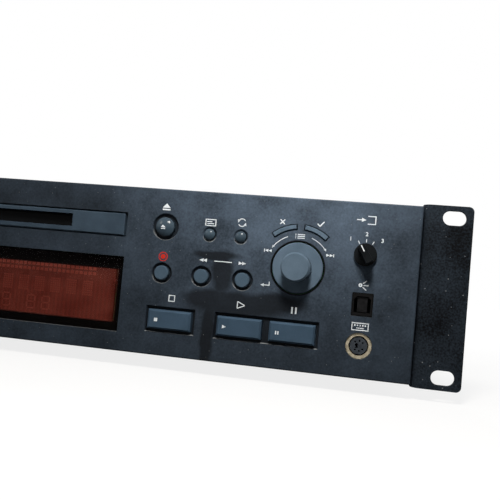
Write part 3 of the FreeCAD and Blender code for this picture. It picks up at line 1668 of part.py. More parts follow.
def optical_ports():
    """The optical output and second optical input, each with its dust plug in."""
    made = []
    bore_side = "(plug_side + 2 * fit_gap)"
    for x in OPTICAL_OUT:
        start, face = f"{CASE_END} - port_depth", f"{CASE_END} + port_proud"
        shell = centred(x, start, "port_side", "port_depth + port_proud", "port_side")
        start, length = f"{CASE_END} - plug_depth", "plug_depth + port_proud"
        bore = centred(x, start, bore_side, length, bore_side)
        plug = centred(x, start, "plug_side", length, "plug_side")
        grip = centred(x, face, "plug_grip", "plug_grip_depth", "plug_grip")
        made += [cut(shell, bore), join(plug, grip)]
    return keep(group(*made), "optical_ports")


def power_inlet():
    """The mains inlet, with its recess, three blades and two fixing wings."""
    x, low = "inlet_x", f"({CASE_END} - inlet_depth)"
    width, height = "(inlet_width - 2 * fit_gap)", "(inlet_height - 2 * fit_gap)"
    plate = centred(x, CASE_END, "inlet_plate_width", "plate_sheet", "inlet_plate_height")
    case = centred(x, low, width, "inlet_depth", height)
    well_width, well_height = "(inlet_width - 2 * inlet_wall)", "(inlet_height - 2 * inlet_wall)"
    well = centred(x, f"{low} + inlet_floor", well_width, "inlet_depth", well_height)
    start = f"{low} + inlet_floor - join_overlap"
    blades = [
        box(
            (f"{x} + {side} * blade_pitch - blade_sheet / 2", start, f"{rise} - blade_height / 2"),
            ("blade_sheet", "blade_length", "blade_height"),
        )
        for side, rise in ((-1, "0 - blade_rise"), (0, "blade_rise"), (1, "0 - blade_rise"))
    ]
    return keep(join(cut(join(plate, case), well), *blades), "power_inlet")


# --- Inside: power and signal boards -------------------------------------------------------------


def power_transformer():
    """The mains transformer: its core on two feet, with the coil through it."""
    x, y = "core_x", f"({CASE_END} - core_back)"
    left, front = f"({x} - core_width / 2)", f"({y} - core_depth / 2)"
    core = box((left, front, PAN_FLOOR), ("core_width", "core_depth", "core_height"))
    foot = box(
        (f"{x} - 2 * core_width / 3", f"{y} - core_depth / 4", PAN_FLOOR),
        ("4 * core_width / 3", "core_depth / 2", "pan_sheet"),
    )
    coil = box(
        (f"{x} - core_width / 3", f"{y} - 2 * core_depth / 3", f"{PAN_FLOOR} + core_height / 5"),
        ("2 * core_width / 3", "4 * core_depth / 3", "3 * core_height / 5"),
    )
    return keep(join(core, foot, coil), "power_transformer")


def standing_board(label, x, back, width, depth, *parts):
    """A board on four standoffs over the pan, with the blocks and cans that stand on it.

    A part's place counts from the board's middle, in shares of its width and depth.
    """
    y = f"({CASE_END} - {back})"
    top = f"({PAN_FLOOR} + standoff + board_sheet)"
    low = (f"{x} - {width} / 2", f"{y} - {depth} / 2", f"{PAN_FLOOR} + standoff")
    plate = box(low, (width, depth, "board_sheet"))
    pillars = []
    for side in (-1, 1):
        for end in (-1, 1):
            left = f"{x} + {side} * ({width} / 2 - pillar_inset) - pillar_side / 2"
            front = f"{y} + {end} * ({depth} / 2 - pillar_inset) - pillar_side / 2"
            pillars.append(box((left, front, PAN_FLOOR), ("pillar_side", "pillar_side", "standoff")))
    stood = []
    for across, along_board, *sizes in parts:
        middle = f"({x} + {across} * {width})", f"({y} + {along_board} * {depth})"
        if len(sizes) == 2:
            radius, height = sizes
            stood.append(cylinder((*middle, top), radius, height, "Z"))
        else:
            wide, deep, height = sizes
            low = (f"{middle[0]} - {wide} / 2", f"{middle[1]} - {deep} / 2", top)
            stood.append(box(low, (wide, deep, height)))
    return keep(group(plate, *pillars, *stood), label)


def inside_boards():
    """The power supply board and the main board."""
    can = ("main_can_radius", "main_can_height")
    small_can = ("small_can_radius", "small_can_height")
    relay = ("relay_width", "relay_depth", "relay_height")
    chip = ("chip_side", "chip_side", "chip_height")
    standing_board(
        "power_board",
        "core_x",
        "power_board_back",
        "power_board_width",
        "power_board_depth",
        (-0.3, -0.25, *can),
        (-0.3, 0.1, *can),
        (-0.05, -0.28, *small_can),
        (0.22, 0.25, "heat_sink_width", "heat_sink_depth", "heat_sink_height"),
        (0.26, -0.2, *relay),
    )
    standing_board(
        "main_board",
        "main_board_x",
        "main_board_back",
        "main_board_width",
        "main_board_depth",
        (-0.2, -0.1, *chip),
        (0.07, -0.17, *chip),
        (0.13, 0.17, *chip),
        (0.33, 0.33, *small_can),
        (0.22, 0.33, *small_can),
        (-0.27, 0.33, *relay),
    )


# --- Disc loader ---------------------------------------------------------------------------------

LOADER_HALF = "(loader_width / 2)"
LOADER_FLOOR = f"({MOUTH_Z} - loader_drop)"
LOADER_TOP = f"({LOADER_FLOOR} + loader_sheet)"
LEG_FRONT = f"({RIM} + frame_lip + leg_gap)"
CARRIAGE_TOP = f"({MOUTH_Z} + (cartridge_height + cartridge_play) / 2)"
CARRIAGE_FLOOR = f"({MOUTH_Z} - (cartridge_height + cartridge_play) / 2)"
CARRIAGE_HALF = "(cartridge_width / 2 + cartridge_play + carriage_sheet)"
GUIDE_Y = ["(loader_front + guide_front)", "(loader_front + guide_back)"]
ROD_X = ["(0 - rod_span / 2)", "(rod_span / 2)"]
ROD_Z = f"({LOADER_TOP} + rod_rise)"
ROD_START = "(spindle_y + rod_inset)"
ROD_LENGTH = "(sled_depth + sled_travel + rod_over)"
SLED_X = "(rod_span / 2 + sled_side)"
RACK_X = "(rod_span / 2 + rack_side)"
GEAR_RADIUS = "(gear_module * gear_teeth / 2)"
GEAR_X = f"({RACK_X} + {GEAR_RADIUS})"
GEAR_Y = "(sled_start + sled_depth / 2 + gear_inset)"
GEAR_Z = f"({LOADER_TOP} + gear_rise)"
TOOTH_PITCH = "(gear_module * pi)"
TOOTH_HALF = f"({TOOTH_PITCH} / 4 - gear_backlash / 2)"
TOOTH_SLOPE = "(gear_module * tan(pressure_angle))"


def loader_frame():
    """The loader's frame: a floor between two side plates that stand on the pan."""
    body = new_body("loader_frame")
    floor = Drawing(body, lift="0 - loader_front")
    floor.rectangle("0", f"({LOADER_FLOOR} + loader_sheet / 2)", "loader_width", "loader_sheet")
    pad(floor, "loader_depth")
    back = "(loader_front + loader_depth)"
    crest, skirt = f"({LOADER_FLOOR} + loader_wall)", f"({LOADER_FLOOR} - skirt_drop)"
    for sign in ("0 - ", ""):
        middle = f"({sign}({LOADER_HALF} - loader_sheet / 2))"
        side = Drawing(body, "YZ", lift=f"{middle} - loader_sheet / 2")
        side.loop(
            [
                ("loader_front", skirt),
                (f"{LEG_FRONT} - leg_slope", skirt),
                (LEG_FRONT, PAN_FLOOR),
                (f"{LEG_FRONT} + leg_width", PAN_FLOOR),
                (f"{LEG_FRONT} + leg_width + leg_slope", skirt),
                (f"{back} - leg_width - leg_slope", skirt),
                (f"{back} - leg_width", PAN_FLOOR),
                (back, PAN_FLOOR),
                (back, crest),
                ("loader_front", crest),
            ]
        )
        pad(side, "loader_sheet", against=False)
    tracks = Drawing(body, "YZ", lift=f"0 - {LOADER_HALF} - 1")
    wide = "(2 * guide_pin + fit_gap)"
    for y in GUIDE_Y:
        tracks.rectangle(y, f"{MOUTH_Z} - load_drop / 2", wide, f"(load_drop + {wide})")
    pocket(tracks, "loader_width + 2", against=False)
    holes = Drawing(body, "XY", lift=LOADER_TOP)
    holes.circle("0", "spindle_y", "spindle_radius + shaft_clear")
    pocket(holes, "loader_sheet")
    post = Drawing(body, "XY", lift=LOADER_FLOOR)
    post.circle(GEAR_X, GEAR_Y, "gear_post")
    pad(post, "loader_sheet + gear_width + 2 * gear_rise", against=False)
    clamps = Drawing(body, "XY", lift=LOADER_TOP)
    for x in ROD_X:
        for y in (f"{ROD_START} + clamp_depth / 2", f"{ROD_START} + {ROD_LENGTH} - clamp_depth / 2"):
            clamps.rectangle(x, y, "clamp_width", "clamp_depth")
    pad(clamps, "clamp_height", against=False)
    bores = Drawing(body, lift=f"0 - {ROD_START}")
    for x in ROD_X:
        bores.circle(x, ROD_Z, "rod_radius")
    pocket(bores, ROD_LENGTH)
    return body


def disc_carriage():
    """The tray that takes the cartridge and lowers it: a top, two sides and two inward ledges."""
    body = new_body("disc_carriage")
    sheet = "carriage_sheet"
    half, top, low = CARRIAGE_HALF, CARRIAGE_TOP, CARRIAGE_FLOOR
    ledge = f"({half} - carriage_ledge)"
    fold = Drawing(body, lift="0 - carriage_front")
    fold.loop(
        [
            (f"0 - {ledge}", f"{low} - {sheet}"),
            (f"0 - {ledge}", low),
            (f"{sheet} - {half}", low),
            (f"{sheet} - {half}", top),
            (f"{half} - {sheet}", top),
            (f"{half} - {sheet}", low),
            (ledge, low),
            (ledge, f"{low} - {sheet}"),
            (half, f"{low} - {sheet}"),
            (half, f"{top} + {sheet}"),
            (f"0 - {half}", f"{top} + {sheet}"),
            (f"0 - {half}", f"{low} - {sheet}"),
        ]
    )
    pad(fold, "cartridge_depth + 4 * cartridge_play")
    head = Drawing(body, "XY", lift=f"{top} + {sheet}")
    head.slot("0", "sled_start + sled_depth / 2", "head_length", "head_width")
    pocket(head, sheet)
    stop = Drawing(body, lift=f"{sheet} - (carriage_front + cartridge_depth + 4 * cartridge_play)")
    wide = f"(2 * ({half} - carriage_stop_inset))"
    stop.rectangle("0", f"({top} + {low}) / 2", wide, f"({top} - {low})")
    pad(stop, sheet)
    for lift, against in ((f"{half} - {sheet} / 2", False), (f"{sheet} / 2 - {half}", True)):
        pins = Drawing(body, "YZ", lift=lift)
        for y in GUIDE_Y:
            pins.circle(y, MOUTH_Z, "guide_pin")
        pad(pins, f"{LOADER_HALF} - {half} + {sheet} / 2", against=against)
    return body


def turntable():
    """The magnetic turntable on the spindle motor's shaft."""
    body = new_body("turntable", y="spindle_y")
    base, bottom = f"({LOADER_TOP} + turntable_rise)", f"({LOADER_TOP} - spindle_drop)"
    crest = f"({base} + turntable_height)"
    turn(
        Drawing(body, "XZ").loop(
            [
                ("0", bottom),
                ("spindle_radius", bottom),
                ("spindle_radius", base),
                ("turntable_radius", base),
                ("turntable_radius", f"{base} + turntable_rim"),
                ("turntable_radius - turntable_slope", crest),
                ("hub_radius + soft_edge", crest),
                ("hub_radius", f"{crest} + hub_height"),
                ("hub_tip", f"{crest} + hub_height + lens_height"),
                ("0", f"{crest} + hub_height + lens_height"),
            ]
        )
    )
    return body


def drive_motors():
    """The spindle motor under the floor and the sled motor beside it."""
    start, well = f"{LOADER_FLOOR} - motor_height", f"{LOADER_FLOOR} - spindle_drop"
    motor = cylinder(("0", "spindle_y", start), "motor_radius", "motor_height", "Z")
    bore = cylinder(("0", "spindle_y", well), "spindle_radius + bore_play", "spindle_drop", "Z")
    start = (GEAR_X, GEAR_Y, f"{LOADER_FLOOR} - sled_motor_height")
    other = cylinder(start, "sled_motor_radius", "sled_motor_height", "Z")
    return keep(group(cut(motor, bore), other), "drive_motors")


def guide_rods():
    """The two rods that the pickup slides on."""
    rods = [cylinder((x, ROD_START, ROD_Z), "rod_radius", ROD_LENGTH) for x in ROD_X]
    return keep(group(*rods), "guide_rods")


def pickup_sled():
    """The laser pickup: a block on the two rods, with its lens and the rack along one side."""
    body = new_body("pickup_sled")
    low, high = f"({ROD_Z} - sled_height / 2)", f"({ROD_Z} + sled_height / 2)"
    middle = "(sled_start + sled_depth / 2)"
    block = Drawing(body, "XY", lift=low)
    block.rectangle("0", middle, f"(2 * {SLED_X})", "sled_depth")
    pad(block, "sled_height", against=False)
    bores = Drawing(body, lift="0 - sled_start")
    for x in ROD_X:
        bores.circle(x, ROD_Z, "rod_radius + bore_play")
    pocket(bores, "sled_depth")
    lens = Drawing(body, "XY", lift=high)
    lens.circle("0", "sled_start + lens_inset", "lens_radius")
    pad(lens, "lens_height", against=False)
    back = Drawing(body, "XY", lift=GEAR_Z)
    near, far = f"({SLED_X} - join_overlap)", f"({RACK_X} - gear_module)"
    back.rectangle(f"({near} + {far}) / 2", middle, f"({far} - {near})", "sled_depth")
    pad(back, "gear_width", against=False)
    root, tip = f"({RACK_X} - gear_module - bore_play)", f"({RACK_X} + gear_module - bore_play)"
    first = f"({GEAR_Y} - (rack_teeth - 1) * {TOOTH_PITCH})"
    wide, narrow = f"({TOOTH_HALF} + {TOOTH_SLOPE})", f"({TOOTH_HALF} - {TOOTH_SLOPE})"
    tooth = Drawing(body, "XY", lift=GEAR_Z)
    tooth.loop(
        [
            (root, f"{first} - {wide}"),
            (tip, f"{first} - {narrow}"),
            (tip, f"{first} + {narrow}"),
            (root, f"{first} + {wide}"),
        ]
    )
    one = pad(tooth, "gear_width", against=False)
    row = body.newObject("PartDesign::LinearPattern", "Rack")
    row.Originals = [one]
    row.Direction = (tooth.sketch, ["V_Axis"])
    tie(row, "Length", f"{TOOTH_PITCH} * (rack_teeth - 1)")
    tie(row, "Occurrences", "rack_teeth")
    body.Tip = row
    return body


def sled_gear():
    """The pinion that drives the sled's rack."""
    body = new_body("sled_gear", x=GEAR_X, y=GEAR_Y)
    body.Placement.Rotation = FreeCAD.Rotation(Vector(0, 0, 1), 10)
    tie(body, "Placement.Rotation.Angle", "180 / gear_teeth")
    root = f"({GEAR_RADIUS} - 1.2 * gear_module)"
    blank = Drawing(body, "XY", lift=GEAR_Z)
    blank.circle("0", "0", root)
    pad(blank, "gear_width", against=False)
    start, tip = f"({root} - join_overlap)", f"({GEAR_RADIUS} + gear_module - 2 * bore_play)"
    wide, narrow = f"({TOOTH_HALF} + {TOOTH_SLOPE})", f"({TOOTH_HALF} - {TOOTH_SLOPE})"
    tooth = Drawing(body, "XY", lift=GEAR_Z)
    tooth.loop(
        [
            (start, f"0 - {wide}"),
            (GEAR_RADIUS, f"0 - {TOOTH_HALF}"),
            (tip, f"0 - {narrow}"),
            (tip, narrow),
            (GEAR_RADIUS, TOOTH_HALF),
            (start, wide),
        ]
    )
    one = pad(tooth, "gear_width", against=False)
    teeth = body.newObject("PartDesign::PolarPattern", "Teeth")
    teeth.Originals = [one]
    teeth.Axis = (tooth.sketch, ["N_Axis"])
    teeth.Angle = 360
    tie(teeth, "Occurrences", "gear_teeth")
    body.Tip = teeth
    bore = Drawing(body, "XY", lift=f"{GEAR_Z} + gear_width")
    bore.circle("0", "0", "gear_post + bore_play")
    pocket(bore, "gear_width")
    return body


# --- The whole deck ------------------------------------------------------------------------------


def main():
    """Builds every sub-part, checks the document and writes one file for each."""
    front_panel()
    front_frame()
    slot_bezel()
    slot_door()
    display_window()
    display_tube()
    buttons()
    jog_dial()
    jog_encoder()
    jog_plunger()
    selector_knob()
    selector_switch()
    knobs()
    control_pots()
    power_switch()
    timer_lever()
    timer_switch()
    phones_jack()
    optical_input()
    optical_shutter()
    keyboard_socket()
    keyboard_insert()
    panel_boards()
    rack_ears()
    side_screws("ear_screws", "case_width / 2 + ear_sheet", EAR_SCREWS, "ear_screw_length")
    chassis_pan()
    top_cover()
    side_screws("cover_screws", "case_width / 2", SIDE_SCREWS, "cover_screw_length")
    feet()
    rear_panel()
    xlr_connectors()
    phono_jacks()
    optical_ports()
    power_inlet()
    power_transformer()
    inside_boards()
    loader_frame()
    disc_carriage()
    turntable()
    drive_motors()
    guide_rods()
    pickup_sled()
    sled_gear()
    doc.recompute()

    for thing in doc.Objects:
        if "Invalid" in thing.State or "Error" in thing.State:
            raise RuntimeError("failed: %s %s" % (thing.Name, thing.Label))
    os.makedirs("parts", exist_ok=True)
    for node in NODES:
        if node.Shape.isNull() or not node.Shape.isValid():
            raise RuntimeError("bad shape: " + node.Label)
        node.Shape.exportStep("parts/%s.step" % node.Label)
    print("sub-parts:", len(NODES))


main()
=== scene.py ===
"""The looks of a rack minidisc deck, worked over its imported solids, in metres.

The script goes from the outside in: studio, front panel and its print, keys, disc slot, display,
knobs, sockets, rack ears and case, rear connectors, and what is inside the case.
"""

import math

import bmesh
import bpy
from mathutils import Euler, Matrix, Vector


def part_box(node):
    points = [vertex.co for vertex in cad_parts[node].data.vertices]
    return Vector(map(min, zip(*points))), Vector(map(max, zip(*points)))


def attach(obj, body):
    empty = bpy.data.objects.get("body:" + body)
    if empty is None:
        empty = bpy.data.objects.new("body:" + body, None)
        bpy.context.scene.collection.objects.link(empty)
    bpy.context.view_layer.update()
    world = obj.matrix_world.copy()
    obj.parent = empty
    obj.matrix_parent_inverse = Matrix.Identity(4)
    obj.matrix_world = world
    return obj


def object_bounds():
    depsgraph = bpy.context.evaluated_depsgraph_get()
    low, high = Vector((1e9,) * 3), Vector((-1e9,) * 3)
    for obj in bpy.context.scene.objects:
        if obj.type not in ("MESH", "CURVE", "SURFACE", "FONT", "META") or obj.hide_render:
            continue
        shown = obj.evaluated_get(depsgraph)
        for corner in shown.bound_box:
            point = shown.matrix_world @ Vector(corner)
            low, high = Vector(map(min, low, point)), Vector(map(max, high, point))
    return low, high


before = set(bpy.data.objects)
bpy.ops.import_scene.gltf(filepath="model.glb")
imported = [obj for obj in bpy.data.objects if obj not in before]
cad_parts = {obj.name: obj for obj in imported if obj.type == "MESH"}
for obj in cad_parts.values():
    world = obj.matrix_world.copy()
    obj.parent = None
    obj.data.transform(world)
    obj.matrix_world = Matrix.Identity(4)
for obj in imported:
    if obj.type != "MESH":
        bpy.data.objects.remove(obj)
cad_box = [list(corner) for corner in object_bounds()]
MM = 0.001

# --- Studio -----------------------------------------------------------------------------------
# A pale floor under the deck's feet, a small soft lamp above the front of the dial, and weaker
# ones for the left end, the front and the back. The camera stands level with the panel, before
# its right half, and leans a little.

CAMERA_PLACE = Vector((191.42, -313.5, 0.87)) * MM
CAMERA_TURN = Euler([math.radians(angle) for angle in (92.543, -5.240, 10.068)])
CAMERA_LENS = 45.26
CAMERA_NEAR = 10 * MM
FLOOR_SIZE = 6.0
FLOOR_TONE = "#5c5c5c"
FLOOR_ROUGHNESS = 0.9
# The floor's glow, as the camera sees it, grows between two distances from the deck, in metres.
GLOW_REACH = (0.4, 1.3)
GLOW_LEVELS = (0.82, 1.0)
ROOM_TONE = "#e9edf2"
ROOM_LIGHT = 0.01
# Each lamp: its name, its place and aim in millimetres, its size in metres, its watts, its colour.
LAMPS = (
    ("lamp_over", (172, -205, 235), (140, 0, 0), 0.07, 1.45, "#fffaf2"),
    ("lamp_fill", (700, -900, 350), (100, 0, 0), 1.2, 0.05, "#eaf2ff"),
    ("lamp_left", (-300, -260, 280), (-170, 0, 0), 0.15, 0.5, "#fffaf2"),
    ("lamp_back", (-200, 900, 700), (0, 150, 0), 0.6, 8.0, "#ffffff"),
)


def linear(colour):
    """The linear colour of an sRGB hex value such as "#3a4048"."""
    parts = [int(colour[n : n + 2], 16) / 255 for n in (1, 3, 5)]
    return (*[c / 12.92 if c <= 0.04045 else ((c + 0.055) / 1.055) ** 2.4 for c in parts], 1.0)


def add(tree, kind, sockets=(), **settings):
    """Adds a node. Each socket gets a value, or a link where it is given an output."""
    made = tree.nodes.new(kind)
    for name, value in settings.items():
        setattr(made, name, value)
    for name, value in dict(sockets).items():
        if isinstance(value, bpy.types.NodeSocket):
            tree.links.new(value, made.inputs[name])
        else:
            made.inputs[name].default_value = value
    return made


def show(thing):
    """Links an object into the scene."""
    bpy.context.scene.collection.objects.link(thing)
    return thing


lens = bpy.data.cameras.new("view_camera")
lens.lens = CAMERA_LENS
lens.sensor_width = 36
lens.clip_start = CAMERA_NEAR
camera = show(bpy.data.objects.new("view_camera", lens))
camera.location = CAMERA_PLACE
camera.rotation_euler = CAMERA_TURN
bpy.context.scene.camera = camera
bpy.context.scene.view_settings.view_transform = "Standard"

# Matt paper, a grey that throws little light back at the deck.
paper = bpy.data.materials.new("grey_paper_sweep")
paper.use_nodes = True
paper_shader = paper.node_tree.nodes["Principled BSDF"]
paper_shader.inputs["Base Color"].default_value = linear(FLOOR_TONE)
paper_shader.inputs["Roughness"].default_value = FLOOR_ROUGHNESS
# The camera sees the sweep brighter than it lights the deck: near white, and white far away.
viewed = add(paper.node_tree, "ShaderNodeLightPath").outputs["Is Camera Ray"]
floor_spot = add(paper.node_tree, "ShaderNodeTexCoord").outputs["Object"]
away = add(paper.node_tree, "ShaderNodeVectorMath", {0: floor_spot}, operation="LENGTH")
glow_start, glow_end = GLOW_REACH
glow_near, glow_far = GLOW_LEVELS
glow = add(
    paper.node_tree,
    "ShaderNodeMapRange",
    {"Value": away.outputs["Value"], 1: glow_start, 2: glow_end, 3: glow_near, 4: glow_far},
)
lift = add(
    paper.node_tree, "ShaderNodeMath", {0: viewed, 1: glow.outputs[0]}, operation="MULTIPLY"
)
paper_shader.inputs["Emission Color"].default_value = linear("#ffffff")
paper.node_tree.links.new(lift.outputs[0], paper_shader.inputs["Emission Strength"])

sweep = bmesh.new()
bmesh.ops.create_grid(sweep, x_segments=1, y_segments=1, size=FLOOR_SIZE / 2)
bmesh.ops.translate(sweep, verts=sweep.verts, vec=(0, 0, cad_box[0][2]))
floor_mesh = bpy.data.meshes.new("studio_floor")
sweep.to_mesh(floor_mesh)
sweep.free()
floor_mesh.materials.append(paper)
floor = show(bpy.data.objects.new("studio_floor", floor_mesh))

# The camera, mirror and glass rays see a white world, and every other ray a plain grey one.
world = bpy.data.worlds.new("studio_world")
bpy.context.scene.world = world
world.use_nodes = True
sky = world.node_tree
sky.nodes.clear()
rays = add(sky, "ShaderNodeLightPath")
seen = rays.outputs["Is Camera Ray"]
for kind in ("Is Glossy Ray", "Is Transmission Ray"):
    both = add(sky, "ShaderNodeMath", {0: seen, 1: rays.outputs[kind]}, operation="MAXIMUM")
    seen = both.outputs[0]
room = add(sky, "ShaderNodeBackground", {"Color": linear(ROOM_TONE), "Strength": ROOM_LIGHT})
white = add(sky, "ShaderNodeBackground", {"Color": linear("#ffffff"), "Strength": 1.0})
either = add(sky, "ShaderNodeMixShader", {0: seen, 1: room.outputs[0], 2: white.outputs[0]})
add(sky, "ShaderNodeOutputWorld", {"Surface": either.outputs[0]})

for name, place, aim, size, power, colour in LAMPS:
    light = bpy.data.lights.new(name, "AREA")
    light.size = size
    light.energy = power
    light.color = linear(colour)[:3]
    stand = show(bpy.data.objects.new(name, light))
    stand.location = Vector(place) * MM
    towards = Vector(aim) - Vector(place)
    stand.rotation_euler = towards.to_track_quat("-Z", "Y").to_euler()

# --- Front panel ------------------------------------------------------------------------------
# One moulded ABS tray, slate blue-grey, with a fine spark-eroded grain from its mould. A painted
# pool of light brightens it over the dial, and dark patches lie round some keys; the patch under
# the dial is a painted shadow of its knob.
# Dust and painted light pale the wells' upward lips, and painted shade darkens the wells. Lengths
# are in millimetres from here on.

PANEL_TONES = ("#1a2027", "#3b4653")
PANEL_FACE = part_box("front_panel")[0].y / MM
# The mould's own grain of a quarter millimetre is drawn coarser, so that it shows.
PANEL_GRAIN = 0.9
PANEL_CLOUD = 22.0
GRIT_SHARE = 0.3
GRAIN_STRENGTH = 0.3
GRAIN_DEPTH = 0.02
SHINE_SWING = 0.1
# A painted pool of light, as from a lamp over the dial: its middle along X and Z, its half widths,
# and how soft its edge is.
PAINTED_POOL_PLACE = (152, 42, 60, 48, 0.95)
# It multiplies the panel's tone by these amounts, away from its middle and there.
PAINTED_POOL_DIM = 0.71
PAINTED_POOL_BRIGHT = 2.0
# Dark patches; the one under the dial is a painted shadow of its knob.
DARK_PATCH_TONE = "#0c0e11"
DARK_PATCH_EDGE = 0.32
DARK_PATCH_SHARE = 0.82
WAVER_PITCH = 7
WAVER_REACH = 3.5
DUST_AND_LIGHT_TONE = "#a9adae"
# Dust and painted light from above pale the surface where it tilts upwards by these amounts, and
# below these heights.
LIP_TILTS = (0.15, 0.6)
LIP_TOPS = (40, 39)
LIP_DUST_AND_LIGHT = 0.35
# Painted shade in the wells round the keys and in a rim round the dial.
PAINTED_SHADE_TONE = "#060709"
WELL_SHADE_SHARE = 0.85
WELL_SHADE_DEPTHS = (0.5, 1.6)
WELL_SHADE_TOPS = (41, 40)
DIAL_SHADE_RIM = 1.1
SPECK_PITCH = 3.2
SPECK_SIZES = (0.07, 0.03)
SPECK_SHARE = 0.35
# Each dark patch: its middle along X and Z and its half widths. The one under the dial is a
# painted shadow of the dial's knob.
DARK_PATCHES = (
    (118.4, 10.6, 11.5, 2.4),
    (122.4, 1.5, 5.6, 11.0),
    (118.0, -11.5, 14.5, 5.5),
    (131.0, -13.0, 26.0, 6.5),
    (151.0, -10.5, 14.0, 4.8),
    (117.2, -29.0, 3.6, 22.0),
)


def new_finish(name, roughness, metallic=0.0, **constants):
    """A material, its node tree, its shader and the object coordinates that patterns read."""
    finish = bpy.data.materials.new(name)
    finish.use_nodes = True
    tree = finish.node_tree
    shader = tree.nodes["Principled BSDF"]
    shader.inputs["Roughness"].default_value = roughness
    shader.inputs["Metallic"].default_value = metallic
    for socket, value in constants.items():
        shader.inputs[socket.replace("_", " ")].default_value = value
    spot = add(tree, "ShaderNodeTexCoord").outputs["Object"]
    return finish, tree, shader, spot


def two_tones(tree, amount, low, high, start=0.3, stop=0.7):
    """A colour that goes from one tone to another as an amount rises."""
    ramp = add(tree, "ShaderNodeValToRGB", {"Fac": amount})
    for stage, place, tone in zip(ramp.color_ramp.elements, (start, stop), (low, high)):
        stage.position = place
        stage.color = linear(tone)
    return ramp.outputs["Color"]


def roughen(tree, shader, height, amount, depth):
    """Gives a shader a fine relief, its depth in millimetres."""
    bump = add(
        tree,
        "ShaderNodeBump",
        {"Height": height, "Strength": amount, "Distance": depth * MM},
    )
    tree.links.new(bump.outputs["Normal"], shader.inputs["Normal"])


def moulded(name, tones, roughness, grain, cloud, specular=0.08):
    """A moulded plastic: soft clouds between two tones, an uneven shine and the mould's grain."""
    finish, tree, shader, spot = new_finish(name, roughness, Specular_IOR_Level=specular)
    mist = add(
        tree,
        "ShaderNodeTexNoise",
        {"Vector": spot, "Scale": 1 / (cloud * MM), "Detail": 6.0, "Roughness": 0.6},
    ).outputs["Fac"]
    grit = add(
        tree,
        "ShaderNodeTexNoise",
        {"Vector": spot, "Scale": 1 / (grain * MM), "Detail": 2.0},
    ).outputs["Fac"]
    mottle = add(tree, "ShaderNodeMix", {0: GRIT_SHARE, 2: mist, 3: grit}).outputs[0]
    tone = two_tones(tree, mottle, *tones)
    tree.links.new(tone, shader.inputs["Base Color"])
    shine = add(
        tree,
        "ShaderNodeMapRange",
        {"Value": mist, 3: roughness - SHINE_SWING, 4: roughness + SHINE_SWING},
    ).outputs[0]
    tree.links.new(shine, shader.inputs["Roughness"])
    roughen(tree, shader, grit, GRAIN_STRENGTH, GRAIN_DEPTH)
    return finish, tree, shader, spot, tone


def dress(finish, *names):
    """Gives CAD nodes a finish."""
    for name in names:
        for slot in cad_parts[name].material_slots:
            slot.material = finish


def round_zone(tree, spot, x, z, half_width, half_height=None, edge=0.02):
    """One near a line along Y and nought away from it, in an ellipse with a soft edge."""
    local = add(
        tree,
        "ShaderNodeMapping",
        {
            "Vector": spot,
            "Location": (x * MM, 0, z * MM),
            "Scale": (half_width * MM, 1e3, (half_height or half_width) * MM),
        },
        vector_type="TEXTURE",
    )
    away = add(tree, "ShaderNodeVectorMath", {0: local.outputs[0]}, operation="LENGTH")
    return add(
        tree,
        "ShaderNodeMapRange",
        {"Value": away.outputs["Value"], 1: 1 + edge, 2: 1 - edge},
        interpolation_type="SMOOTHSTEP",
    ).outputs[0]


def any_zone(tree, zones):
    """The strongest of several zones."""
    strongest = zones[0]
    for zone in zones[1:]:
        pair = add(tree, "ShaderNodeMath", {0: strongest, 1: zone}, operation="MAXIMUM")
        strongest = pair.outputs[0]
    return strongest


def height_zone(tree, spot, axis, start, stop):
    """One beyond a height along an axis and nought below it."""
    along = add(tree, "ShaderNodeSeparateXYZ", {0: spot}).outputs[axis]
    grown = add(tree, "ShaderNodeMapRange", {"Value": along, 1: start * MM, 2: stop * MM})
    return grown.outputs[0]


def layered(tree, zone, under, over):
    """A colour over another where a zone is one. Each is an output or a hex value."""
    mix = add(tree, "ShaderNodeMix", data_type="RGBA")
    tree.links.new(zone, mix.inputs[0])
    for socket, colour in ((mix.inputs[6], under), (mix.inputs[7], over)):
        if isinstance(colour, str):
            socket.default_value = linear(colour)
        else:
            tree.links.new(colour, socket)
    return mix.outputs[2]


panel_abs, tree, shader, spot, tone = moulded(
    "slate_abs_dust_and_painted_light", PANEL_TONES, roughness=0.55, grain=PANEL_GRAIN, cloud=PANEL_CLOUD
)
# The painted pool of light is brightest over the dial. The dark patches' edges waver.
waver = add(
    tree,
    "ShaderNodeTexNoise",
    {"Vector": spot, "Scale": 1 / (WAVER_PITCH * MM), "Detail": 3.0},
)
shift = add(
    tree,
    "ShaderNodeVectorMath",
    {0: waver.outputs["Color"], 1: (0.5, 0.5, 0.5)},
    operation="SUBTRACT",
)
swayed = add(
    tree,
    "ShaderNodeVectorMath",
    {0: shift.outputs[0], 1: (WAVER_REACH * MM, 0, WAVER_REACH * MM), 2: spot},
    operation="MULTIPLY_ADD",
)
patches = [
    round_zone(tree, swayed.outputs[0], x, z, half_width, half_height, DARK_PATCH_EDGE)
    for x, z, half_width, half_height in DARK_PATCHES
]
patches_and_shadow = add(
    tree, "ShaderNodeMath", {0: any_zone(tree, patches), 1: DARK_PATCH_SHARE}, operation="MULTIPLY"
).outputs[0]
height = add(tree, "ShaderNodeSeparateXYZ", {0: spot}).outputs["Z"]
# A painted pool of light, as from a lamp over the dial, brightens the panel there and dims it
# elsewhere.
painted_pool_zone = round_zone(tree, spot, *PAINTED_POOL_PLACE)
painted_pool = add(
    tree, "ShaderNodeMapRange", {"Value": painted_pool_zone, 3: PAINTED_POOL_DIM, 4: PAINTED_POOL_BRIGHT}
).outputs[0]
pool_lit = add(tree, "ShaderNodeVectorMath", {0: tone, "Scale": painted_pool}, operation="SCALE").outputs[0]
# The dark patches, one of them a painted shadow under the dial's knob, go over the panel's tone.
patched = layered(tree, patches_and_shadow, pool_lit, DARK_PATCH_TONE)
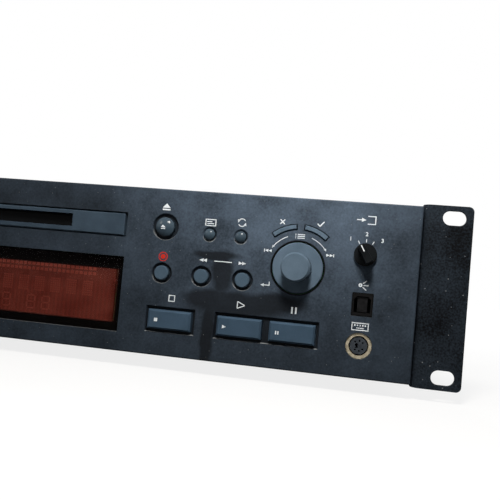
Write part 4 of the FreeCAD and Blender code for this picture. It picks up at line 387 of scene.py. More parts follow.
# The wells' lower lips, which look upwards, are paled with dust and painted light from above, but
# not the panel's top.
normal = add(tree, "ShaderNodeTexCoord").outputs["Normal"]
facing = add(tree, "ShaderNodeSeparateXYZ", {0: normal}).outputs["Z"]
lip_end, lip_start = LIP_TOPS
below_top = add(
    tree,
    "ShaderNodeMapRange",
    {"Value": height, 1: lip_end * MM, 2: lip_start * MM, 4: LIP_DUST_AND_LIGHT},
).outputs[0]
level, steep = LIP_TILTS
lip_dust_and_light = add(
    tree, "ShaderNodeMapRange", {"Value": facing, 1: level, 2: steep, 4: below_top}
).outputs[0]
lips_paled = layered(tree, lip_dust_and_light, patched, DUST_AND_LIGHT_TONE)
# Painted shade darkens the wells round the keys, deeper than the face. It ends short of the
# panel's top.
deep_shade = height_zone(tree, spot, "Y", *[PANEL_FACE + depth for depth in WELL_SHADE_DEPTHS])
well_end, well_start = WELL_SHADE_TOPS
inside = add(
    tree,
    "ShaderNodeMapRange",
    {"Value": height, 1: well_end * MM, 2: well_start * MM, 4: WELL_SHADE_SHARE},
)
well_shade = add(tree, "ShaderNodeMath", {0: deep_shade, 1: inside.outputs[0]}, operation="MULTIPLY")
well_shaded = layered(tree, well_shade.outputs[0], lips_paled, PAINTED_SHADE_TONE)
# A rim of black painted shade runs round the dial.
low, high = (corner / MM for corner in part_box("jog_dial"))
dial_x, dial_z = (low.x + high.x) / 2, (low.z + high.z) / 2
rim_shade = round_zone(tree, spot, dial_x, dial_z, (high.x - low.x) / 2 + DIAL_SHADE_RIM)
rim_shaded = layered(tree, rim_shade, well_shaded, PAINTED_SHADE_TONE)
# Sparse pale specks of grit lie over everything.
grit = add(tree, "ShaderNodeTexVoronoi", {"Vector": spot, "Scale": 1 / (SPECK_PITCH * MM)})
outer, inner = SPECK_SIZES
specks = add(
    tree,
    "ShaderNodeMapRange",
    {"Value": grit.outputs["Distance"], 1: outer, 2: inner, 4: SPECK_SHARE},
).outputs[0]
specked = layered(tree, specks, rim_shaded, DUST_AND_LIGHT_TONE)
tree.links.new(specked, shader.inputs["Base Color"])
dress(panel_abs, "front_panel")

# --- Print on the panel -----------------------------------------------------------------------
# Screen-printed signs in white ink, and one red dot over the record key: plain pictograms and
# numbers, a few hundredths of a millimetre thick, placed from the controls that they belong to.
# A table of bars gives each bar's middle from the control's, its width and its height.

INK_THICKNESS = 0.03
INK_ROUGHNESS = 0.6
SCREEN_GAP = 0.25
STROKE = 0.45
THIN_STROKE = 0.4
# A capital's share of the letter's size, and how much its strokes are thickened.
CAP_SHARE = 0.7
LETTER_SWELL = 0.03
LETTER_HEIGHT = 1.9
RAY_TURNS = (-38, 0, 38)
# Each knob's scale: how far its marks are from the knob's middle, and how many they are.
SCALES = (("phones_knob", 9.6, 11), ("pitch_knob", 9.6, 3), ("input_ring", 15.0, 11))
SCALE_SWEEP = 300
RING_STEP = 12
ARROW_SPREAD = 0.45
CREASE = math.radians(30)
DOUBLE_GAP = 0.001


def new_ink(name, tones):
    """A matt screen ink, a little uneven where the mesh of the screen let less through."""
    finish, tree, shader, spot = new_finish(name, INK_ROUGHNESS, Specular_IOR_Level=0.03)
    gap = SCREEN_GAP * MM
    weave = add(tree, "ShaderNodeTexNoise", {"Vector": spot, "Scale": 1 / gap, "Detail": 1.0})
    tree.links.new(two_tones(tree, weave.outputs["Fac"], *tones), shader.inputs["Base Color"])
    return finish


white_ink = new_ink("white_screen_ink", ("#bcc5cd", "#e2e9ef"))
red_ink = new_ink("red_screen_ink", ("#a02018", "#c8382c"))


def middle(node):
    """The middle of a CAD node along X and Z, in millimetres."""
    low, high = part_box(node)
    return (low.x + high.x) / 2 / MM, (low.z + high.z) / 2 / MM


def outline(shape, *points):
    """Adds a flat outline to a shape, from points along X and Z."""
    shape.faces.new([shape.verts.new((x, 0, z)) for x, z in points])


def bar(shape, x, z, width, height, turn=0.0):
    """Adds a flat bar by its middle and sides, turned clockwise by an angle in degrees."""
    across = Matrix.Rotation(math.radians(turn), 4, "Y") @ Matrix.Rotation(math.pi / 2, 4, "X")
    size = Matrix.Diagonal((width, height, 1, 1))
    bmesh.ops.create_grid(
        shape,
        x_segments=1,
        y_segments=1,
        size=0.5,
        matrix=Matrix.Translation((x, 0, z)) @ across @ size,
    )


def ring(shape, x, z, radius, stroke=STROKE, start=0.0, sweep=360.0):
    """Adds a flat ring, or the piece of it from an angle counted from the right, leftwards."""
    begin = math.radians(start)
    ends = [
        shape.verts.new((x + r * math.cos(begin), 0, z + r * math.sin(begin)))
        for r in (radius - stroke / 2, radius + stroke / 2)
    ]
    edge = shape.edges.new(ends)
    bmesh.ops.spin(
        shape,
        geom=[*ends, edge],
        cent=(x, 0, z),
        axis=(0, -1, 0),
        dvec=(0, 0, 0),
        angle=math.radians(sweep),
        steps=max(4, round(sweep / RING_STEP)),
        use_merge=sweep == 360.0,
    )


def arrow(shape, x, z, length, heading):
    """Adds a solid arrowhead by its middle, heading counted from the right, leftwards."""
    way = math.radians(heading)
    along = Vector((math.cos(way), math.sin(way))) * length / 2
    side = Vector((-math.sin(way), math.cos(way))) * length * ARROW_SPREAD
    spot = Vector((x, z))
    outline(shape, spot + along, spot - along + side, spot - along - side)


def numeral(shape, text, x, z, height):
    """Adds a number in the plain built-in letter, by its middle."""
    letters = bpy.data.curves.new("numeral", "FONT")
    letters.body = text
    letters.size = height / CAP_SHARE
    letters.offset = LETTER_SWELL * height
    letters.align_x = "CENTER"
    letters.align_y = "CENTER"
    holder = show(bpy.data.objects.new("numeral", letters))
    flat = bpy.data.meshes.new_from_object(
        holder.evaluated_get(bpy.context.evaluated_depsgraph_get())
    )
    bpy.data.objects.remove(holder)
    flat.transform(Matrix.Translation((x, 0, z)) @ Matrix.Rotation(math.pi / 2, 4, "X"))
    shape.from_mesh(flat)
    bpy.data.meshes.remove(flat)


def printed(name, shape, finish, face, body="deck", turn=0.0):
    """Gives flat signs the thickness of ink, lays them on a face and lets them ride on a body.

    The face, by its place along Y, looks forward, unless a turn about Z takes the signs to
    another side of the deck.
    """
    bmesh.ops.remove_doubles(shape, verts=shape.verts, dist=DOUBLE_GAP)
    grown = bmesh.ops.extrude_face_region(shape, geom=shape.faces[:])["geom"]
    front = [part for part in grown if isinstance(part, bmesh.types.BMVert)]
    bmesh.ops.translate(shape, verts=front, vec=(0, -INK_THICKNESS, 0))
    bmesh.ops.recalc_face_normals(shape, faces=shape.faces)
    back = max(v.co.y for v in shape.verts)
    bmesh.ops.translate(shape, verts=shape.verts, vec=(0, face - back, 0))
    bmesh.ops.rotate(shape, verts=shape.verts, matrix=Matrix.Rotation(turn, 3, "Z"))
    bmesh.ops.scale(shape, verts=shape.verts, vec=(MM, MM, MM))
    mesh = bpy.data.meshes.new(name)
    shape.to_mesh(mesh)
    shape.free()
    mesh.materials.append(finish)
    mesh.shade_smooth()
    mesh.set_sharp_from_angle(angle=CREASE)
    made = show(bpy.data.objects.new(name, mesh))
    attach(made, body)


def bars(shape, x, z, table):
    """Adds a table of level bars."""
    for dx, dz, width, height in table:
        bar(shape, x + dx, z + dz, width, height)


signs = bmesh.new()

# Eject: a triangle over a bar. Display: a screen with two lines.
x, z = middle("eject_button")
outline(signs, (x - 2.5, z + 9.8), (x + 1.7, z + 9.8), (x - 0.4, z + 12.1))
bar(signs, x - 0.4, z + 8.9, 4.2, 0.7)
x, z = middle("display_button")
screen_frame = (
    (0, 7.6, 5.6, STROKE),
    (0, 4.5, 5.6, STROKE),
    (-2.58, 6.05, STROKE, 3.4),
    (2.58, 6.05, STROKE, 3.4),
)
screen_lines = ((-0.6, 6.5, 2.7, THIN_STROKE), (-0.1, 5.5, 3.7, THIN_STROKE))
bars(signs, x, z, screen_frame + screen_lines)

# Play mode: two arrows that chase each other round a ring.
x, z = middle("play_mode_button")
z += 7.2
chase = 1.9
for start in (30, 210):
    ring(signs, x, z, chase, start=start, sweep=120)
    way = math.radians(start + 130)
    arrow(signs, x + chase * math.cos(way), z + chase * math.sin(way), 1.6, start + 225)

# Search: two arrowheads to each side of a line between the keys.
back_x, z = middle("search_back_button")
forward_x, _ = middle("search_forward_button")
for side, x in ((180, back_x + 0.3), (0, forward_x - 0.7)):
    for step in (-0.9, 0.9):
        arrow(signs, x + step, z + 8.3, 2.0, side)
bar(signs, (back_x + forward_x) / 2, z + 8.3, 9.0, STROKE)

# No and yes over the arc keys, a list under them, and the arcs that say which way to turn.
x, z = middle("jog_dial")
bold = 0.55
for turn in (-45, 45):
    bar(signs, x - 9.3, z + 22.2, 3.2, bold, turn)
bar(signs, x + 8.6, z + 21.9, 1.7, bold, 45)
bar(signs, x + 10.2, z + 22.4, 3.2, bold, -50)
for line in (-0.9, 0, 0.9):
    bar(signs, x + 0.5, z + 15.6 + line, 3.6, THIN_STROKE)
    bar(signs, x - 2.2, z + 15.6 + line, 0.5, THIN_STROKE)
arc = 16.2
for start, head, heading in ((112, 144, 239), (37, 37, -58)):
    ring(signs, x, z, arc, 0.35, start, sweep=32)
    way = math.radians(head)
    arrow(signs, x + arc * math.cos(way), z + arc * math.sin(way), 1.3, heading)
for side in (-1, 1):
    for step in (14.3, 16.0):
        arrow(signs, x + side * step, z + 7.4, 1.6, 90 - 90 * side)
    bar(signs, x + side * 17.1, z + 7.4, THIN_STROKE, 1.5)

# Push to enter: a returning arrow beside the dial.
bar(signs, x - 13.3, z - 9.0, STROKE, 2.0)
bar(signs, x - 14.8, z - 9.8, 3.4, STROKE)
arrow(signs, x - 16.8, z - 9.8, 1.7, 180)

# Stop, play and ready: each key's own sign in outline, over the key.
x, z = middle("stop_button")
square = (
    (0, 12.55, 3.4, STROKE),
    (0, 9.65, 3.4, STROKE),
    (-1.48, 11.1, STROKE, 3.0),
    (1.48, 11.1, STROKE, 3.0),
)
bars(signs, x, z, square)
x, z = middle("play_button")
bar(signs, x - 1.9, z + 11.1, STROKE, 3.5)
for side in (-1, 1):
    bar(signs, x, z + 11.1 + side * 0.86, 4.0, STROKE, side * 24)
x, z = middle("ready_button")
for side in (-0.95, 0.95):
    bar(signs, x + side, z + 11.1, 0.85, 3.2)

# Input selector: an arrow into a box, three short lines and the places' numbers.
x, z = middle("selector_switch")
arrow(signs, x - 1.9, z + 16.9, 2.2, 0)
open_box = (
    (-4.1, 16.9, 2.6, STROKE),
    (1.8, 18.8, 3.8, STROKE),
    (1.8, 15.0, 3.8, STROKE),
    (3.6, 16.9, STROKE, 4.2),
)
bars(signs, x, z, open_box)
for dx, dz, turn in ((-3.5, 5.9, -28), (0, 6.9, 0), (3.3, 6.0, 28)):
    bar(signs, x + dx, z + dz, THIN_STROKE, 1.6, turn)
for text, dx, dz in (("1", -7.6, 7.3), ("2", 0, 10.0), ("3", 7.6, 7.3)):
    numeral(signs, text, x + dx, z + dz, LETTER_HEIGHT)

# Optical input: a dot that sends out rays. Keyboard: a row of keys in a frame.
x, z = middle("optical_input")
ring(signs, x - 1.6, z + 9.3, 0.6, 0.7)
for turn in RAY_TURNS:
    way = math.radians(turn)
    bar(signs, x - 1.6 + 2.6 * math.cos(way), z + 9.3 + 2.6 * math.sin(way), 2.3, STROKE, -turn)
x, z = middle("keyboard_socket")
keyboard_frame = (
    (0, 10.9, 8.2, STROKE),
    (0, 7.5, 8.2, STROKE),
    (-3.88, 9.2, STROKE, 3.6),
    (3.88, 9.2, STROKE, 3.6),
    (0, 8.5, 3.4, 0.5),
)
bars(signs, x, z, keyboard_frame)
for step in range(5):
    bar(signs, x - 2.5 + 1.25 * step, z + 9.8, 0.65, 0.7)

# Left end: power, timer, headphones, level wedge, pitch signs and the input level's scale.
x, z = middle("power_button")
ring(signs, x, z + 10.4, 1.5, start=120, sweep=300)
bar(signs, x, z + 11.6, STROKE, 1.7)
_, z = middle("timer_lever")
ring(signs, x, z + 7.0, 1.6)
bar(signs, x, z + 7.6, THIN_STROKE, 1.2)
bar(signs, x + 0.4, z + 7.0, 1.1, THIN_STROKE)
for step in (-3.5, 0, 3.5):
    bar(signs, x + step, z + 3.6, THIN_STROKE, 1.2)
x, z = middle("phones_jack")
ring(signs, x, z + 9.6, 1.7, sweep=180)
for side in (-1, 1):
    bar(signs, x + side * 1.7, z + 9.0, 0.9, 1.5)
for knob, reach, marks in SCALES:
    x, z = middle(knob)
    for mark in range(marks):
        turn = SCALE_SWEEP * (mark / (marks - 1) - 0.5)
        way = math.radians(90 - turn)
        bar(signs, x + reach * math.cos(way), z + reach * math.sin(way), 0.35, 1.4, turn)
x, z = middle("pitch_knob")
minus_and_plus = (
    (-6.8, -9.6, 1.8, STROKE),
    (6.8, -9.6, 1.8, STROKE),
    (6.8, -9.6, STROKE, 1.8),
)
bars(signs, x, z, minus_and_plus)
x, z = middle("phones_knob")
outline(signs, (x - 2.6, z + 12.6), (x + 2.6, z + 12.6), (x + 2.6, z + 14.4))
x, z = middle("input_ring")
for text, dx, dz in (("0", -9.8, -15.6), ("5", 0, 18.2), ("10", 9.8, -15.6)):
    numeral(signs, text, x + dx, z + dz, LETTER_HEIGHT)
x, z = middle("pitch_button")
bar(signs, x, z + 8.6, 3.2, STROKE)
bar(signs, x, z + 7.4, 3.2, STROKE)
printed("panel_signs", signs, white_ink, PANEL_FACE)

x, z = middle("record_button")
record_dot = bmesh.new()
ring(record_dot, x, z + 8.3, 0.65, 1.3)
ring(record_dot, x, z + 8.3, 2.2)
printed("record_sign", record_dot, red_ink, PANEL_FACE)

# --- Keys -------------------------------------------------------------------------------------
# Push keys moulded in blue-grey ABS, lighter than the panel. Three long keys and the eject key
# carry a small printed sign each. The jog dial and the arc keys over it share the palest plastic,
# whose tone is partly painted light.

KEY_TONES = ("#3b4b59", "#4a5c6d")
LONG_KEY_TONES = ("#334454", "#405366")
# The dial's tones are paler than the keys' partly as painted light.
DIAL_PALE_AND_LIT_TONES = ("#495968", "#5c6d7e")
DOME_TONES = ("#2e3b46", "#3c4c59")
KEY_GRAIN = 0.35
KEY_CLOUD = 12.0
DIAL_CLOUD = 9.0
SATIN = 0.36
EJECT_BALL = 7.0
EJECT_CUTS = 3

# The satin face of the round and the square keys keeps only a broad, weak shine.
key_abs = moulded(
    "satin_blue_grey_abs", KEY_TONES, SATIN, KEY_GRAIN, KEY_CLOUD, specular=0.04
)[0]
dress(
    key_abs,
    "record_button",
    "search_back_button",
    "search_forward_button",
    "power_button",
    "pitch_button",
)
# The long keys' plastic is a little bluer and darker, with the same satin face.
long_key_abs = moulded(
    "satin_slate_blue_abs", LONG_KEY_TONES, SATIN, KEY_GRAIN, KEY_CLOUD, specular=0.04
)[0]
dress(long_key_abs, "stop_button", "play_button", "ready_button")
# Fingers have smoothed the dial, so its rounded rim catches a thin line of light.
# Its tones are painted lighter than the keys', as light falls on the dial.
dial_abs = moulded(
    "satin_grey_dial_abs_painted_light", DIAL_PALE_AND_LIT_TONES, 0.25, KEY_GRAIN, DIAL_CLOUD, specular=0.04
)[0]
dress(dial_abs, "jog_dial", "edit_button", "yes_button")
# The domes are polished: the lamp shows on each as a small bright spot.
polished_abs = moulded(
    "polished_blue_grey_abs", DOME_TONES, 0.2, KEY_GRAIN, KEY_CLOUD, specular=0.2
)[0]
dress(polished_abs, "eject_button", "display_button", "play_mode_button")


def front_of(node):
    """The front of a CAD node along Y, in millimetres."""
    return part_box(node)[0].y / MM


x, z = middle("stop_button")
stop_sign = bmesh.new()
bar(stop_sign, x - 6.8, z - 0.2, 1.7, 1.7)
printed("stop_key_sign", stop_sign, white_ink, front_of("stop_button"), "stop_button")

x, z = middle("play_button")
play_sign = bmesh.new()
arrow(play_sign, x - 7.3, z - 0.2, 2.1, 0)
printed("play_key_sign", play_sign, white_ink, front_of("play_button"), "play_button")

x, z = middle("ready_button")
ready_sign = bmesh.new()
for side in (-0.55, 0.55):
    bar(ready_sign, x - 7.2 + side, z - 0.4, 0.6, 1.7)
printed("ready_key_sign", ready_sign, white_ink, front_of("ready_button"), "ready_button")

# The eject sign bends over the key's dome.
x, z = middle("eject_button")
eject_sign = bmesh.new()
outline(eject_sign, (x - 1.7, z - 0.5), (x + 0.7, z - 0.5), (x - 0.5, z + 0.9))
bar(eject_sign, x - 0.5, z - 1.1, 2.4, 0.5)
bmesh.ops.triangulate(eject_sign, faces=eject_sign.faces)
bmesh.ops.subdivide_edges(
    eject_sign, edges=eject_sign.edges[:], cuts=EJECT_CUTS, use_grid_fill=True
)
for v in eject_sign.verts:
    reach = math.hypot(v.co.x - x, v.co.z - z)
    v.co.y = EJECT_BALL - math.sqrt(EJECT_BALL**2 - reach**2)
bent = max(v.co.y for v in eject_sign.verts)
eject_face = front_of("eject_button") + bent
printed("eject_key_sign", eject_sign, white_ink, eject_face, "eject_button")

# --- Disc slot --------------------------------------------------------------------------------
# The slot's bezel is a moulded frame of dark slate ABS, pressed into the panel. The dust door in
# it is a thin black ABS flap on two pins, which a disc pushes inwards.

BEZEL_TONES = ("#2d3945", "#3c4a58")
DOOR_TONES = ("#050607", "#0c0d0f")

# The bezel is a touch glossier than the keys, as nothing rubs it.
bezel_abs = moulded(
    "satin_dark_slate_abs", BEZEL_TONES, 0.34, KEY_GRAIN, KEY_CLOUD, specular=0.06
)[0]
dress(bezel_abs, "slot_bezel")
# The door's black swallows the light that gets into the slot.
black_abs = moulded(
    "black_abs", DOOR_TONES, roughness=0.4, grain=0.3, cloud=10.0, specular=0.05
)[0]
dress(black_abs, "slot_door")

# --- Display ----------------------------------------------------------------------------------
# A smoked red acrylic window with a black printed border on its back. Behind it lies a flat
# vacuum tube with rows of phosphor segments, all unlit. The window is a thin veil here, so the
# tube and its segments have the red tones that they show through it.

WINDOW_TONES = ("#5e2720", "#824238")
WINDOW_VEIL = 0.25
WINDOW_SHINE = (0.04, 0.14)
STREAK_PITCH = 9
BORDER_VEIL = "#080505"
BORDER_TONES = ("#050505", "#0b0b0b")
BORDER_EDGE = 0.4
BORDER_GAP = 0.02
# The clear part ends this far from the window's sides, foot and head.
MASK_EDGES = (6.5, 6.0, 8.4)
TUBE_TONES = ("#48160f", "#561c15")
TUBE_SHADE = "#220b09"
# The tube's shade starts and ends this far below its head.
SHADE_DEPTHS = (16, 4)
# At this scale a wave texture repeats once in a metre.
ONE_WAVE = 0.314
# The grid's wires, half a millimetre apart, are drawn coarser, so that they show.
GRID_PITCH = 2.4
PHOSPHOR_TONES = ("#6a2c24", "#803c32")
SEGMENT_LIFT = 0.01
# The rows' depths below the tube's head: level bars, dot blocks, and the figures' middles.
LEVEL_DEPTHS = (4.5, 7.1)
LEVEL_BARS = 44
LEVEL_PITCH = 2.5
DOT_DEPTH = 11.5
DOT_BLOCKS = 12
BLOCK_PITCH = 9.2
DOT_COLUMNS = 5
DOT_LINES = 7
DOT_PITCH = 1.15
DOT_SIZE = 0.85
FIGURE_DEPTH = 24.9
FIGURES = 8
FIGURE_PITCH = 8.5
PAIR_GAP = 6
FIGURE_STROKE = 0.7

# Smoked acrylic, wiped with a cloth: a soft shine that changes from streak to streak.
window_acrylic, tree, shader, spot = new_finish(
    "smoked_red_acrylic", 0.08, IOR=1.49, Alpha=WINDOW_VEIL, Specular_IOR_Level=0.05
)
streaks = add(
    tree,
    "ShaderNodeTexNoise",
    {"Vector": spot, "Scale": 1 / (STREAK_PITCH * MM), "Detail": 4.0},
)
clean, smeared = WINDOW_SHINE
smear = add(tree, "ShaderNodeMapRange", {"Value": streaks.outputs["Fac"], 3: clean, 4: smeared})
tree.links.new(smear.outputs[0], shader.inputs["Roughness"])
low, high = (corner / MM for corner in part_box("display_window"))
side_edge, foot_edge, head_edge = MASK_EDGES
left, right = low.x + side_edge, high.x - side_edge
foot, head = low.z + foot_edge, high.z - head_edge
edges = (
    ("X", left, left - BORDER_EDGE),
    ("X", right, right + BORDER_EDGE),
    ("Z", foot, foot - BORDER_EDGE),
    ("Z", head, head + BORDER_EDGE),
)
masked = any_zone(tree, [height_zone(tree, spot, *edge) for edge in edges])
clear = two_tones(tree, streaks.outputs["Fac"], *WINDOW_TONES)
tree.links.new(layered(tree, masked, clear, BORDER_VEIL), shader.inputs["Base Color"])
dress(window_acrylic, "display_window")

tube_low, tube_high = (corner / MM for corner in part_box("display_tube"))
border = bmesh.new()
outside = [(low.x, low.z), (high.x, low.z), (high.x, high.z), (low.x, high.z)]
inside = [(left, foot), (right, foot), (right, head), (left, head)]
for n in range(4):
    m = (n + 1) % 4
    outline(border, outside[n], outside[m], inside[m], inside[n])
black_ink = new_ink("black_border_ink", BORDER_TONES)
printed("window_border", border, black_ink, high.y + INK_THICKNESS + BORDER_GAP)

# Glass over fine upright grid wires, darker towards its head in the shade of the panel's edge.
tube_glass, tree, shader, spot = new_finish("dark_tube_glass", 0.25, Specular_IOR_Level=0.1)
grid = add(
    tree,
    "ShaderNodeTexWave",
    {"Vector": spot, "Scale": ONE_WAVE / (GRID_PITCH * MM)},
    wave_profile="SIN",
)
tube_tone = two_tones(tree, grid.outputs["Fac"], *TUBE_TONES)
shaded = height_zone(tree, spot, "Z", *[tube_high.z - depth for depth in SHADE_DEPTHS])
tree.links.new(layered(tree, shaded, tube_tone, TUBE_SHADE), shader.inputs["Base Color"])
dress(tube_glass, "display_tube")

# From the head down: two level bars, a line of dot blocks, and the figures of a counter.
segments = bmesh.new()
for depth in LEVEL_DEPTHS:
    for step in range(LEVEL_BARS):
        bar(segments, tube_low.x + 8 + LEVEL_PITCH * step, tube_high.z - depth, 1.9, 1.6)
for place in range(DOT_BLOCKS):
    for column in range(DOT_COLUMNS):
        for line in range(DOT_LINES):
            x = tube_low.x + 9 + BLOCK_PITCH * place + DOT_PITCH * column
            z = tube_high.z - DOT_DEPTH - DOT_PITCH * line
            bar(segments, x, z, DOT_SIZE, DOT_SIZE)
for place in range(FIGURES):
    x = tube_low.x + 12 + FIGURE_PITCH * place + PAIR_GAP * (place // 2)
    z = tube_high.z - FIGURE_DEPTH
    for dz in (-3.4, 0, 3.4):
        bar(segments, x, z + dz, 3.6, FIGURE_STROKE)
    for dx in (-2.2, 2.2):
        for dz in (-1.7, 1.7):
            bar(segments, x + dx, z + dz, FIGURE_STROKE, 2.8)
phosphor = new_ink("pale_phosphor", PHOSPHOR_TONES)
printed("display_segments", segments, phosphor, tube_low.y - SEGMENT_LIFT)

# --- Knobs ------------------------------------------------------------------------------------
# The selector, the level and pitch knobs and the timer lever are moulded in black ABS. Each knob
# has a white line, printed or filled into its notch, that shows its place.

KNOB_TONES = ("#0b0d0f", "#16191c")
SELECTOR_REST = math.radians(-30)
NOTCH_DEPTH = 0.38
NOTCH_WIDTH = 0.96
# Each notched knob: how far the notch's middle is from the knob's, and how long its fill is.
NOTCHES = (
    ("phones_knob", 4.5, 2.96),
    ("pitch_knob", 4.5, 2.96),
    ("input_knob", 4.5, 2.96),
    ("input_ring", 10.1, 2.76),
)

# A hard, dense black with a weak shine on its edges.
knob_abs = moulded(
    "black_knob_abs", KNOB_TONES, roughness=0.38, grain=0.3, cloud=9.0, specular=0.06
)[0]
dress(
    knob_abs,
    "selector_knob",
    "phones_knob",
    "pitch_knob",
    "input_knob",
    "input_ring",
    "timer_lever",
)

x, z = middle("selector_switch")
pointer = bmesh.new()
bar(pointer, 0, 2.9, 0.5, 3.2)
bmesh.ops.rotate(pointer, verts=pointer.verts, matrix=Matrix.Rotation(SELECTOR_REST, 3, "Y"))
bmesh.ops.translate(pointer, verts=pointer.verts, vec=(x, 0, z))
printed("selector_line", pointer, white_ink, front_of("selector_knob"), "selector_knob")

for knob, reach, length in NOTCHES:
    x, z = middle(knob)
    fill = bmesh.new()
    bar(fill, x, z + reach, NOTCH_WIDTH, length)
    printed(knob + "_line", fill, white_ink, front_of(knob) + NOTCH_DEPTH, knob)

# --- Sockets ----------------------------------------------------------------------------------
# The optical input is a dark shell with a glossy black shutter. The keyboard socket is a tinned
# ring round a dark insert with six pin holes. The headphone jack and the rotary parts behind the
# knobs are nylon.

TIN_TONES = ("#7f7762", "#bcb4a0")
STAIN_PITCH = 2
INSERT_TONES = ("#2a2e34", "#40464d")
SHELL_TONES = ("#0b0b0c", "#141415")
SHUTTER_TONES = ("#0a0a0b", "#1d1d1f")
NYLON_TONES = ("#0c0d0e", "#161718")
SMALL_GRAIN = 0.4

# Tin that has gone dull and cream, with stains from hands.
socket_tin, tree, shader, spot = new_finish("cream_tinned_steel", 0.42, metallic=0.35)
stain = add(
    tree,
    "ShaderNodeTexNoise",
    {"Vector": spot, "Scale": 1 / (STAIN_PITCH * MM), "Detail": 4.0},
)
stained = two_tones(tree, stain.outputs["Fac"], *TIN_TONES)
tree.links.new(stained, shader.inputs["Base Color"])
dress(socket_tin, "keyboard_socket")
# Glass-filled plastic: the insert is matt and dusty, the shells nearly black.
insert_pbt = moulded("dark_insert_pbt", INSERT_TONES, 0.45, SMALL_GRAIN, cloud=3.0)[0]
dress(insert_pbt, "keyboard_insert")
shell_pbt = moulded("black_pbt", SHELL_TONES, 0.5, SMALL_GRAIN, cloud=5.0, specular=0.05)[0]
dress(shell_pbt, "optical_input", "optical_ports", "power_switch", "timer_switch")
# The shutter comes from a polished mould, so it mirrors a little of the room.
shutter_pbt = moulded(
    "glossy_shutter_pbt", SHUTTER_TONES, 0.15, SMALL_GRAIN, cloud=2.5, specular=0.12
)[0]
dress(shutter_pbt, "optical_shutter")
# Nylon is duller than the other blacks.
black_nylon = moulded("black_nylon", NYLON_TONES, 0.55, SMALL_GRAIN, cloud=6.0)[0]
dress(
    black_nylon,
    "phones_jack",
    "jog_encoder",
    "jog_plunger",
    "selector_switch",
    "control_pots",
)

# --- Rack ears and case -----------------------------------------------------------------------
# Bent sheet steel with a black powder coat, which cures with a fine orange peel. The ears are
# scuffed and mottled by the rack, and pale specks show where grit has chipped them. Blackened
# screws with a cross recess hold the ears and the cover, and four rubber feet carry the case.

EAR_TONES = ("#08090b", "#29313a")
CASE_TONES = ("#1a1c1f", "#26292c")
PRIMER_TONE = "#8b9096"
PEEL_PITCH = 0.9
PEEL_SHARE = 0.45
PEEL_STRENGTH = 0.35
PEEL_DEPTH = 0.05
COAT_CLOUD = 25
COAT_SPREAD = (0.38, 0.66)
COAT_SHINE = (0.4, 0.62)
CHIP_PITCH = 3.5
CHIP_SIZES = (0.09, 0.05)
OXIDE_TONES = ("#1a1b1d", "#3a3b3d")
OXIDE_PITCH = 0.8
# Painted shade for the screws' cross recesses.
RECESS_SHADE_TONES = ("#020202", "#070707")
# The screws' places along Y and Z, the same on both sides.
SCREW_SPOTS = {
    "ear_screws": ((20.5, 24.0), (20.5, -24.0), (66.0, -32.0)),
    "cover_screws": ((150.0, -34.0), (211.0, -34.0), (272.0, -34.0)),
}
CROSS_REACH = 1.5
CROSS_HALF = 0.28
RUBBER_TONES = ("#111112", "#1d1d1e")


def powder_coated(name, tones, chips, specular):
    """Black powder coat: orange peel of about a millimetre, uneven gloss and small chips."""
    finish, tree, shader, spot = new_finish(name, 0.5, Specular_IOR_Level=specular)
    peel, cloud = [
        add(tree, "ShaderNodeTexNoise", {"Vector": spot, "Scale": 1 / (size * MM), "Detail": fine})
        for size, fine in ((PEEL_PITCH, 3.0), (COAT_CLOUD, 5.0))
    ]
    grit = add(tree, "ShaderNodeTexVoronoi", {"Vector": spot, "Scale": 1 / (CHIP_PITCH * MM)})
    outer, inner = CHIP_SIZES
    chipped = add(
        tree,
        "ShaderNodeMapRange",
        {"Value": grit.outputs["Distance"], 1: outer, 2: inner, 4: chips},
    ).outputs[0]
    mottle = add(
        tree, "ShaderNodeMix", {0: PEEL_SHARE, 2: cloud.outputs["Fac"], 3: peel.outputs["Fac"]}
    )
    coat = two_tones(tree, mottle.outputs[0], *tones, *COAT_SPREAD)
    tree.links.new(layered(tree, chipped, coat, PRIMER_TONE), shader.inputs["Base Color"])
    glossy, dull = COAT_SHINE
    shine = add(tree, "ShaderNodeMapRange", {"Value": cloud.outputs["Fac"], 3: glossy, 4: dull})
    tree.links.new(shine.outputs[0], shader.inputs["Roughness"])
    roughen(tree, shader, peel.outputs["Fac"], PEEL_STRENGTH, PEEL_DEPTH)
    return finish


# The ears' coat is worn: darker and lighter blotches, and many chips.
ear_coat = powder_coated("scuffed_black_powder_coat", EAR_TONES, chips=0.75, specular=0.04)
dress(ear_coat, "rack_ear_left", "rack_ear_right")
# The case's coat is nearly as new, an even dark grey with a soft shine.
case_coat = powder_coated("black_powder_coat", CASE_TONES, chips=0.15, specular=0.15)
dress(case_coat, "top_cover", "chassis_pan", "rear_panel")

# Blackened steel, rubbed pale in places by a screwdriver.
black_oxide, tree, shader, spot = new_finish("black_oxide_steel", 0.4, metallic=0.8)
rubs = add(
    tree,
    "ShaderNodeTexNoise",
    {"Vector": spot, "Scale": 1 / (OXIDE_PITCH * MM), "Detail": 3.0},
)
rubbed = two_tones(tree, rubs.outputs["Fac"], *OXIDE_TONES)
tree.links.new(rubbed, shader.inputs["Base Color"])
dress(black_oxide, "ear_screws", "cover_screws")

